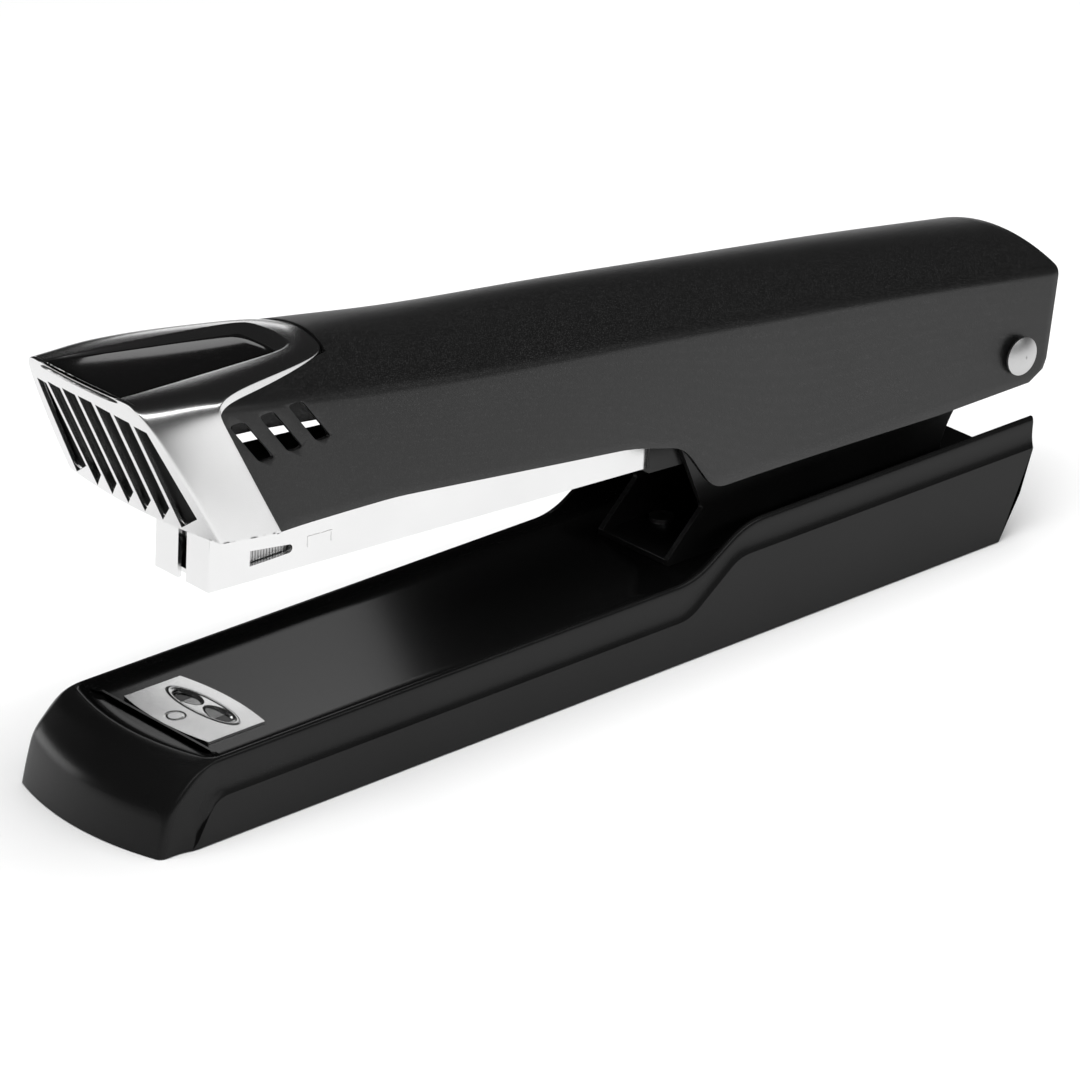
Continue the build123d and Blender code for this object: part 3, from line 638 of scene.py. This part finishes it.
for upper, lower in zip(face, face[1:]):
    strip(upper, lower)
ridge = [row[3] for row in face]
flank_mid = [between(r, w, 0.2) for r, w in zip(ridge[1:], boundary)]
strip(ridge[1:], flank_mid)
strip(flank_mid, boundary)
strip(inner, middle)
strip(middle, outer)
strip(floor_line, inner)
strip(outer[2:], wing_foot)
floor_grid = [[(s, y * share, z) for share in (0.0, 0.5, 1.0)] for s, y, z in floor_line]
for ahead, behind in zip(floor_grid, floor_grid[1:]):
    strip(ahead, behind)
strip(face[0][:3], floor_grid[0])
boundary_foot = [wing_foot[0]] + [(s + 0.3, y - 0.9, z) for s, y, z in boundary[1:]]
strip(boundary, boundary_foot)
crease(*ridge)
crease(*face[0][:3], face[0][3])
crease(*inner)
crease(*outer[2:])
crease(*boundary)
crease(*face[-1], flank_mid[-1], boundary[-1])
print(len(quads), "faces in half the cage,", len(creased), "creased edges")


# %% [markdown]
# Subdivision turns the cage into the moulding. The seven slots are cut afterwards, because a hole in a
# subdivided cage pulls the face out of its plane.

# %% The nose as a surface
def cage_piece(name, faces, sharp, levels):
    """Builds both halves of a cage, creases its lines and subdivides it."""
    points, index = [], {}

    def number(p, sign):
        key = (round(p[0], 4), round(sign * p[1], 4), round(p[2], 4))
        if key not in index:
            index[key] = len(points)
            points.append(at(*key))
        return index[key]

    polygons = [[number(p, sign) for p in f][::sign] for sign in (1, -1) for f in faces]
    edges = {frozenset(number(p, sign) for p in pair) for sign in (1, -1) for pair in sharp}
    mesh = bpy.data.meshes.new(name)
    mesh.from_pydata(points, [], [list(dict.fromkeys(f)) for f in polygons])
    work = bmesh.new()
    work.from_mesh(mesh)
    layer = work.edges.layers.float.new("crease_edge")
    for edge in work.edges:
        if frozenset(v.index for v in edge.verts) in edges:
            edge[layer] = 0.85
    bmesh.ops.recalc_face_normals(work, faces=work.faces)
    work.to_mesh(mesh)
    work.free()
    piece = link(name, mesh)
    modify(piece, "SUBSURF", levels=levels, render_levels=levels)
    return piece


nose = cage_piece("nose_frame", quads, creased, 4)
modify(nose, "SOLIDIFY", thickness=0.8 * MM, offset=-1.0)
finished(nose)

FACE_SLOTS, FACE_PITCH, FACE_HALF = 7, 4.75, 1.9


def grille_slot(k):
    """Outline of one grille slot on the face, as (y, drop)."""
    middle = FACE_PITCH * k - 0.2
    near_top, far_top = middle - FACE_HALF, middle + FACE_HALF
    near_foot, far_foot = near_top, far_top
    if k == -3:
        near_top, near_foot = near_top + 0.7, near_foot - 2.0
    if k == 3:
        far_top, far_foot = far_top - 0.8, far_foot + 2.4
    top = 4.3 + 0.16 * k * k
    return [(near_top, top + 0.4 * (k < 0)), (far_top, top), (far_foot, 30.1), (near_foot, 25.8)]


carve(nose, [
    prism("grille_tool", grille_slot(k - 3), lambda p, d: at(*face_at(p[0], p[1], d)), (-3.0, 2.6))
    for k in range(FACE_SLOTS)
])
modify(nose, "BEVEL", width=0.12 * MM, segments=2, limit_method="ANGLE", angle_limit=math.radians(50))
finished(nose, 40)
hand_over(nose, "trim_chrome", "cover", "nose_trim")

# %% [markdown]
# The push pad is where the thumb goes: a polished black slab that lies in the frame, flush at the
# front and sunk at the back. It is a slightly crowned grid with thickness and a small rounded edge.

# %% The push pad
PAD_FRONT, PAD_REAR = (0.95, 10.95, 84.3), (39.6, 5.3, 80.7)
pad_rows = []
for t in np.linspace(0, 1, 17):
    station, half, height = (a + t * (b - a) for a, b in zip(PAD_FRONT, PAD_REAR))
    pad_rows.append([at(station - 0.55 * (1 - t) * (1 - s * s), s * half, height + 0.25 * (1 - s * s))
                     for s in np.linspace(-1, 1, 17)])
pad = skin("thumb_pad", pad_rows)
modify(pad, "SOLIDIFY", thickness=0.55 * MM, offset=-1.0)
modify(pad, "BEVEL", width=0.16 * MM, segments=3, limit_method="ANGLE", angle_limit=math.radians(50))
finished(pad, 40)
hand_over(pad, "pad_gloss", "cover", "push_pad")

# %% [markdown]
# Behind the grille it is dark because a plastic insert fills the nose. Its node keeps its own mesh. The
# slots look straight at it, so a dark liner sheet follows the grille a millimetre and a half behind.

# %% The liner behind the grille
LINER_DEPTH = 1.5
liner = skin("grille_liner", [
    [at(*face_at(y, drop, LINER_DEPTH)) for y in np.linspace(-14.5 - 0.2 * drop, 14.5 + 0.2 * drop, 13)]
    for drop in np.linspace(3.2, 30.2, 9)
])
modify(liner, "SOLIDIFY", thickness=0.4 * MM, offset=0.0)
finished(liner)
hand_over(liner, "black_plastic", "cover")

# %% [markdown]
# ## The base
# The shell of the base is one moulding. Walking round its edge from the nose to the tail, only the
# profile changes: at the front it leans back in two slopes, along the sides it is a flat panel with a
# rounded shoulder, and from station 125 the rim climbs to the trough. So the shell is a profile
# carried round half of the plan, and the other half is its mirror image.

# %% Heights along the base
BASE_HALF, CORNER_HALF, INNER_HALF = 21.4, 20.7, 19.95
RIM_LOW, RIM_HIGH = 15.5, 23.5
PANEL_FOOT, PANEL_START, PANEL_LOW, PANEL_HIGH = 6.8, 12.0, 8.4, 17.4
SLANT_POINTS = 12        # so many points of the panel's edge make its slanted front and first bend
rim_line = rounded(((-10, RIM_LOW), (125.5, RIM_LOW), (138.5, RIM_HIGH), (230, RIM_HIGH)), 4.5, 11)
panel_line = rounded((
    (PANEL_FOOT, 0.0), (11.8, PANEL_LOW), (123.5, PANEL_LOW), (136.0, PANEL_HIGH), (215, PANEL_HIGH)
), 2.6, 9)
front_line = rounded(((0.0, 0.0), (2.5, 9.5), (8.4, RIM_LOW - 0.1), (11.0, RIM_LOW)), 2.2, 12)


def read(line, place, **outside):
    """Reads a polyline as a function of its first coordinate."""
    return float(np.interp(place, line[:, 0], line[:, 1], **outside))


def shoulder(station, z, rim):
    """How far the side stands in: hollow above the panel, upright, then rounded over to the rim."""
    edge = read(panel_line, station, left=0.0)
    if station > PANEL_START or z <= edge:
        away = z - edge if station > PANEL_FOOT else math.hypot(PANEL_FOOT - station, z)
    else:
        away = min(math.hypot(station - s, z - h) for s, h in panel_line[:SLANT_POINTS])
        away = min(away, math.hypot(station - PANEL_START, z - PANEL_LOW))
    away = max(away, 0.0)
    hollow = 0.40 * (away - away**2 / 6.4) if away < 3.2 else 0.64
    roll = max(0.0, z - (rim - 1.3))
    return hollow + 0.035 * away + 0.62 * (1 - math.sqrt(max(1 - (roll / 1.32) ** 2, 0.0)))


wall_shares = (     # closer together where the profile bends most
    0.008, 0.05, 0.12, 0.2, 0.3, 0.4, 0.5, 0.57, 0.63, 0.69, 0.75, 0.81, 0.87, 0.92, 0.96, 0.985, 1.0
)
print("rim at station 100 and 180:", round(read(rim_line, 100), 1), round(read(rim_line, 180), 1))


# %% [markdown]
# Each row of the shell is one walk round half the plan: along the bowed front, round the corner on a
# quadratic curve, then down the side. The corner is wider near the rim than at the table.

# %% The plan of the base, row by row
PANEL_ROWS = 4


def row_height(station, row):
    """Height of a row: four rows up to the panel's edge, the others from there to the rim."""
    edge, rim = read(panel_line, station, left=0.0), read(rim_line, station)
    if row < PANEL_ROWS:
        below = (edge, edge / 2, 0.1, 0.0)[row]
        return max(edge - below, 0.0)
    return edge + wall_shares[row - PANEL_ROWS] * (rim - edge)


def side_point(station, row):
    z = row_height(station, row)
    return (station, BASE_HALF - shoulder(station, z, read(rim_line, station)), z)


def front_point(y, row):
    z = row_height(-5, row)
    bow = -NOSE_BOW * (1 - (y / CORNER_HALF) ** 2)
    return (bow + float(np.interp(z, front_line[:, 1], front_line[:, 0])), y, z)


ROW_COUNT = PANEL_ROWS + len(wall_shares)
FRONT_STEPS, TURN_STEPS, JOIN_STEPS, JOIN = 11, 11, 14, 18.0


def plan_row(row):
    """One line round half the base at a row's height."""
    corner = front_point(CORNER_HALF, row)
    corner = (corner[0], side_point(corner[0], row)[1], corner[2])
    reach = 1.2 + 4.0 * (row_height(-5, row) / RIM_LOW) ** 3
    last_front = front_point(corner[1] - reach, row)
    first_side = side_point(corner[0] + reach, row)
    line = [front_point(y, row) for y in np.linspace(0, last_front[1], FRONT_STEPS)]
    for t in np.linspace(0, 1, TURN_STEPS)[1:]:
        line.append(tuple((1 - t) ** 2 * a + 2 * t * (1 - t) * b + t * t * c
                          for a, b, c in zip(last_front, corner, first_side)))
    line += [side_point(s, row) for s in np.linspace(first_side[0], JOIN, JOIN_STEPS)[1:]]
    return line


rows = [plan_row(r) for r in range(ROW_COUNT)]
columns = []      # each: points (station, y, z) up to the rim, the tray's edge, and the way into the tray
tray_corner = rounded(((10.3, 15.6), (11.6, INNER_HALF), (17.0, INNER_HALF)), 6.0, TURN_STEPS)
for c in range(len(rows[0])):
    if c < FRONT_STEPS:
        y = 15.6 * c / (FRONT_STEPS - 1)
        edge, angle = (8.0 + 2.3 * (y / 15.6) ** 2, y), 0.0
    elif c < FRONT_STEPS + TURN_STEPS - 1:
        angle = (c - FRONT_STEPS + 1) / (TURN_STEPS - 1)
        edge = tuple(tray_corner[round(angle * (len(tray_corner) - 1))])
    else:
        share = (c - FRONT_STEPS - TURN_STEPS + 2) / (JOIN_STEPS - 1)
        edge, angle = (17.0 + share * (JOIN - 17.0), INNER_HALF), 1.0
    way = Vector((math.cos(angle * math.pi / 2), -math.sin(angle * math.pi / 2)))
    columns.append(([row[c] for row in rows], edge, way))

base_stations = np.unique(np.concatenate((np.arange(JOIN + 3, 200, 4.0), np.arange(117, 146, 0.6))))
for station in base_stations:
    side = [side_point(station, r) for r in range(ROW_COUNT)]
    columns.append((side, (station, INNER_HALF), Vector((0, -1))))


def tail_station(z):
    """The rear end leans out and has a rounded foot."""
    foot = 1.6
    edge = float(np.interp(z, (0, 2, 17, RIM_HIGH), (205.8, 207.0, 212.8, 213.6)))
    dip = max(0.0, foot - z)
    return edge - (foot - math.sqrt(max(foot**2 - dip**2, 0.0)))


last = float(base_stations[-1])
for t in np.linspace(0, 1, 6)[1:]:
    side = [side_point(last, r) for r in range(ROW_COUNT)]
    side = [(last + t * (tail_station(z) - last), y, z) for s, y, z in side]
    columns.append((side, (last + t * (tail_station(RIM_HIGH) - last), INNER_HALF), Vector((0, -1))))
print(len(columns), "columns round half the base")

# %% [markdown]
# Each column becomes a closed profile with an inner wall, and the profiles are joined from one side of
# the tail round the nose to the other. The open ends are capped, and a sill closes the tail between.

# %% The base shell
SHELL_FLOOR = 12.4


def shell_column(points, edge, sign):
    """The closed profile of one column, outside and inside."""
    rim, foot = points[-1][2], points[0]
    profile = list(points)
    ahead = max(0.0, min(1.0, (14.0 - foot[0]) / 8.0))
    inner_y = min(edge[1], max(foot[1] - 1.5 - 1.5 * ahead, 0.0))
    low = foot[0] if foot[0] > JOIN else max(edge[0], foot[0])
    middle = min(edge[0], foot[0] + 6.0) if foot[0] > JOIN else edge[0]
    profile += [(edge[0], edge[1], rim), (edge[0], edge[1], rim - 0.5), (middle, edge[1], SHELL_FLOOR)]
    profile += [(middle, inner_y, SHELL_FLOOR - 0.5), (low, inner_y, 0.0)]
    return [at(s, sign * y, z) for s, y, z in profile]


shell_rows = [shell_column(points, edge, -1) for points, edge, way in columns[::-1]]
shell_rows += [shell_column(points, edge, 1) for points, edge, way in columns[1:]]
shell_rows = [row + row[:1] for row in shell_rows]
shell = skin("base_body", shell_rows)
work = bmesh.new()
work.from_mesh(shell.data)
bmesh.ops.holes_fill(work, edges=[e for e in work.edges if e.is_boundary], sides=0)
bmesh.ops.recalc_face_normals(work, faces=work.faces)
work.to_mesh(shell.data)
work.free()
finished(shell, 40)
hand_over(shell, "base_black", "base", "base_shell")

SILL_HALF, SILL_FRONT, SILL_REAR = 19.9, 202.8, 214.0
sill_outline = [(-SILL_HALF, 0), (SILL_HALF, 0), (SILL_HALF, SHELL_FLOOR), (-SILL_HALF, SHELL_FLOOR)]
sill = prism(
    "base_sill", sill_outline, lambda p, d: at(min(d, tail_station(p[1])), p[0], p[1]),
    (SILL_FRONT, SILL_REAR)
)
finished(sill)
hand_over(sill, "base_black", "base")

# %% [markdown]
# The tray inside is a separate polished moulding. Its floor is flat and turns up to the rim all round,
# and a hairline gap parts it from the shell. It uses the tray edge that each column already carries.

# %% The tray
TRAY_TOP = 13.7
tray_rise = (     # how far in from the edge, and what share of the way down
    (0.10, 0.0), (0.7, 0.0), (0.95, 0.10), (1.3, 0.36), (1.9, 0.66), (2.7, 0.86), (3.7, 0.96), (5.0, 1.0)
)


def tray_half(sign):
    """Rows from the tray's edge down to its floor, one for each column of the base."""
    made = []
    for points, edge, way in columns:
        rim = points[-1][2]
        steep = 1.0 - 0.55 * min(max((rim - RIM_LOW) / 6, 0.0), 1.0)
        row = []
        for inset, fall in tray_rise:
            z = rim - 0.05 + fall * (TRAY_TOP - rim + 0.05)
            reach = inset * steep
            row.append(at(edge[0] + way.x * reach, sign * max(edge[1] + way.y * reach, 0.0), z))
        made.append(row)
    return made


tray_rows = tray_half(1)
mirrored = tray_half(-1)
tray = skin("tray_body", [row + other[::-1] for row, other in zip(tray_rows, mirrored)])
modify(tray, "SOLIDIFY", thickness=0.8 * MM, offset=-1.0)
finished(tray, 40)
hand_over(tray, "tray_gloss", "base", "base_tray")

# %% [markdown]
# ## The anvil
# Below the nose lies a bright plate with two almond hollows that curl the staple's legs. A boolean
# would leave hard lips, but pressed steel flows, so the plate is a fine grid pushed down by a formula.

# %% The anvil
ANVIL_FRONT, ANVIL_REAR, ANVIL_HALF, ANVIL_BOW, ANVIL_TOP = 17.4, 30.1, 12.2, 1.3, 14.25
HOLLOW_AT, HOLLOW_DEPTH, RIVET_AT, RIVET_RADIUS = 25.8, 0.85, 19.4, 1.7


def anvil_height(station, y):
    """Top of the plate: two hollows, deepest at their outer ends, and a ring pressed round a rivet."""
    height = ANVIL_TOP
    for side in (1, -1):
        along = (side * y - 0.6) / 7.6
        if 0 < along < 1:
            across = 1 - ((station - HOLLOW_AT) / (1.75 * math.sin(math.pi * along) ** 0.5)) ** 2
            deep = HOLLOW_DEPTH * min(1.0, 2.6 * max(across, 0.0))
            height -= deep * (0.25 + 0.75 * along) * min(1.0, 7 * (1 - along))
    lip = abs(math.hypot((station - HOLLOW_AT) / 2.6, y / 9.4) - 1.0)
    rivet = abs(math.hypot(station - RIVET_AT, y) - RIVET_RADIUS)
    return height + 0.10 * max(0.0, 1 - lip / 0.09) - 0.10 * max(0.0, 1 - rivet / 0.22)


anvil_rows = []
for t in np.linspace(0, 1, 75):
    row = []
    for y in np.linspace(-ANVIL_HALF, ANVIL_HALF, 121):
        bow = ANVIL_BOW * (1 - (y / ANVIL_HALF) ** 2)
        station = ANVIL_FRONT - bow + t * (ANVIL_REAR - ANVIL_FRONT + 2 * bow)
        row.append(at(station, y, anvil_height(station, y)))
    anvil_rows.append(row)
anvil = skin("anvil", anvil_rows)
modify(anvil, "SOLIDIFY", thickness=0.5 * MM, offset=-1.0)
finished(anvil, 50)
hand_over(anvil, "bright_steel", "base", "anvil_plate", "anvil_rivet")

# %% [markdown]
# ## The staples
# The window shows wires, not a bar, so the strip is made of single staples: one square-bent wire,
# copied along the rail by a loop. The copies are shifted along the magazine's own direction.

# %% The staples
strip_dir = Vector(next(j["axis"] for j in frame["joints"] if j["name"] == "follower_slide"))
strip_up = Vector((-strip_dir.z, 0, strip_dir.x))
STAPLE_PITCH, WIRE = 0.65, 0.5
CROWN_HALF, LEG = 6.4, 6.3
strip_points = [v.co for v in frame["nodes"]["staple_strip"].data.vertices]
along_low = min(p.dot(strip_dir) for p in strip_points)
along_high = max(p.dot(strip_dir) for p in strip_points)
up_high = max(p.dot(strip_up) for p in strip_points)
count = int((along_high - along_low) / (STAPLE_PITCH * MM))


def staple(start):
    """Rings of four points along one bent wire; each ring is a cross section."""
    half = CROWN_HALF
    bends = [(-half, -LEG, 1, 0), (-half, -0.35, 1, 0), (-half + 0.35, 0, 1, -1),
             (half - 0.35, 0, -1, -1), (half, -0.35, -1, 0), (half, -LEG, -1, 0)]
    rings = []
    for y, z, inward, downward in bends:
        inner_y = y + inward * WIRE * (1 if abs(y) == half else 0.25)
        inner_z = z + downward * WIRE
        ring = []
        for yy, zz, offset in ((y, z, 0), (inner_y, inner_z, 0), (inner_y, inner_z, WIRE), (y, z, WIRE)):
            spot = (start + offset * MM) * strip_dir + (up_high + zz * MM) * strip_up
            ring.append(Vector((spot.x, yy * MM, spot.z)))
        rings.append(ring)
    return rings


points, faces = [], []
for k in range(count):
    rings, first = staple(along_low + k * STAPLE_PITCH * MM), len(points)
    points += [p for ring in rings for p in ring]
    for r in range(len(rings) - 1):
        for c in range(4):
            a, b = first + 4 * r, first + 4 * r + 4
            faces.append((a + c, a + (c + 1) % 4, b + (c + 1) % 4, b + c))
    faces += [tuple(first + c for c in (3, 2, 1, 0)), tuple(len(points) - 4 + c for c in range(4))]
mesh = bpy.data.meshes.new("staples")
mesh.from_pydata(points, [], faces)
tidy_mesh(mesh, 1e-7)
staples = finished(link("staples", mesh), 30)
hand_over(staples, "staple_wire", "magazine", "staple_strip")
print(count, "staples")

# %% [markdown]
# The side of the magazine carries a small pressed picture of a staple, which tells the user what to
# load. A bump in the finish would vanish from the mesh, so it is a thin raised arch on each side.

# %% Pressed marks on the magazine
MAGAZINE_TILT = math.radians(3.4)


def on_magazine(along, up, y):
    """A place in the magazine's own direction, counted from the pin."""
    cos, sin = math.cos(MAGAZINE_TILT), math.sin(MAGAZINE_TILT)
    return Vector((pin.x + (along * cos + up * sin) * MM, y * MM, pin.z + (up * cos - along * sin) * MM))


MARK_LEFT, MARK_RIGHT, MARK_LOW, MARK_HIGH, MARK_LINE = -167.0, -161.3, -4.0, -1.9, 0.28
MARK_DEPTHS = (7.55, 7.72)     # from just inside the sheet's face to just proud of it
arch = [(MARK_LEFT, MARK_LOW), (MARK_LEFT, MARK_HIGH), (MARK_RIGHT, MARK_HIGH), (MARK_RIGHT, MARK_LOW),
        (MARK_RIGHT - MARK_LINE, MARK_LOW), (MARK_RIGHT - MARK_LINE, MARK_HIGH - MARK_LINE),
        (MARK_LEFT + MARK_LINE, MARK_HIGH - MARK_LINE), (MARK_LEFT + MARK_LINE, MARK_LOW)]
for side, name in ((-1, "near"), (1, "far")):
    mark = prism("staple_picture_" + name, arch, lambda p, d: on_magazine(p[0], p[1], side * d), MARK_DEPTHS)
    finished(mark)
    hand_over(mark, "bright_steel", "magazine")

# %% [markdown]
# ## Folded sheet with soft bends
# Pressed sheet has no sharp edge anywhere, and on bright steel a bend catches its own reflection. A
# frame node may not be changed, so each sheet piece is copied, its flat faces are joined into one each,
# and its edges are rounded. The large flats are shaded flat, because a smooth one picks up the bends.

# %% Softened copies of the sheet pieces
BENDS = {
    "magazine_sheet": ("magazine_channel", "magazine", 0.42),
    "hinge_channel": ("hinge_bracket", "base", 0.25),
    "rear_arm": ("magazine_arm", "magazine", 0.15),
    "blade_arm": ("driver_arm", "cover", 0.15),
}
BEND_FACE_LIMIT = 4e-6       # square metres: larger faces are the flats of the sheet
slots = {s["node"]: s["material_slot"] for s in frame["record"]["subparts"]}
for name, (node, body, width) in BENDS.items():
    mesh = frame["nodes"][node].data.copy()
    work = bmesh.new()
    work.from_mesh(mesh)
    bmesh.ops.remove_doubles(work, verts=work.verts, dist=2e-6)
    bmesh.ops.dissolve_limit(work, angle_limit=math.radians(1), verts=work.verts, edges=work.edges)
    work.to_mesh(mesh)
    work.free()
    piece = link(name, mesh)
    modify(piece, "BEVEL", width=width * MM, segments=3, limit_method="ANGLE", angle_limit=math.radians(45))
    finished(piece, 40)
    for face in piece.data.polygons:
        face.use_smooth = face.area < BEND_FACE_LIMIT
    hand_over(piece, slots[node], body, node)

# %% [markdown]
# ## Finishes for the pieces that keep their shape
# Pins, springs, rivets and the rail are already the right shape, so they only get a finish. The loop
# dresses every node of the frame, the hidden ones too, which keeps it simple.

# %% Dress the other nodes
for name, node in frame["nodes"].items():
    node.data.materials.clear()
    node.data.materials.append(finishes[slots[name]])
print("dressed", len(frame["nodes"]), "nodes")

# %% [markdown]
# ## Light and camera
# A black product is drawn by what it reflects. The floor is pale and the room above it is nearly dark,
# so polished black stays black and the bright parts pick up the floor.

# %% The floor and the room
floor = skin("floor", [[Vector((x, y, -0.0002)) for x in (-4, 4)] for y in (-4, 4)])
paper = Finish("paper", Base_Color=grey(0.86), Roughness=0.9)
floor.data.materials.append(paper.material)

world = bpy.data.worlds.new("room")
bpy.context.scene.world = world
world.use_nodes = True
world.node_tree.nodes["Background"].inputs["Color"].default_value = grey(1.0)
world.node_tree.nodes["Background"].inputs["Strength"].default_value = 0.02


# %% [markdown]
# Four soft panels light it. A broad one overhead makes the floor white; it is hidden from glossy rays,
# so it lays no sheet of grey on the tops. A low one ahead of the nose and a small one further back,
# both on the far side, give the tray and the anvil their reflections. A long strip on the near side
# brightens the flank.

# %% The lamps
def lamp(name, place, aim, width, height, power):
    data = bpy.data.lights.new(name, "AREA")
    data.shape, data.size, data.size_y, data.energy = "RECTANGLE", width, height, power
    made = link(name, data)
    made.location = place
    made.rotation_euler = (Vector(aim) - Vector(place)).to_track_quat("-Z", "Y").to_euler()
    return made


lamp("top_light", (0.0, -0.1, 1.1), (0, 0, 0), 1.6, 1.2, 25).visible_glossy = False
lamp("front_light", (-0.34, 0.52, 0.06), (-0.11, 0, 0.01), 0.34, 0.13, 0.42)
lamp("anvil_light", (0.0697, 0.1785, 0.1215), (-0.085, 0.0, 0.014), 0.056, 0.046, 0.011)
lamp("long_light", (0.1, -0.75, 0.42), (0.02, 0.0, 0.06), 0.9, 0.10, 1.3)

# %% [markdown]
# A long lens from well back keeps the parallel edges nearly parallel, as in a catalogue view. Its place
# is given with the same ruler as the pieces, and its direction by a turn and a rise.

# %% The camera
VIEW_TURN, VIEW_RISE = math.radians(40.9), math.radians(24.7)
CAMERA = (-592.06, -804.98, 512.59)       # counted like every other place here, in millimetres
flat = math.cos(VIEW_RISE)
back = Vector((-math.sin(VIEW_TURN) * flat, -math.cos(VIEW_TURN) * flat, math.sin(VIEW_RISE)))
camera_data = bpy.data.cameras.new("camera")
camera_data.sensor_width, camera_data.lens, camera_data.clip_end = 36.0, 211.0, 20.0
camera = link("camera", camera_data)
camera.location = at(*CAMERA)
camera.rotation_euler = (-back).to_track_quat("-Z", "Y").to_euler()
bpy.context.scene.camera = camera
print("camera at", [round(v, 3) for v in camera.location])
bpy.context.scene.view_settings.view_transform = "Standard"
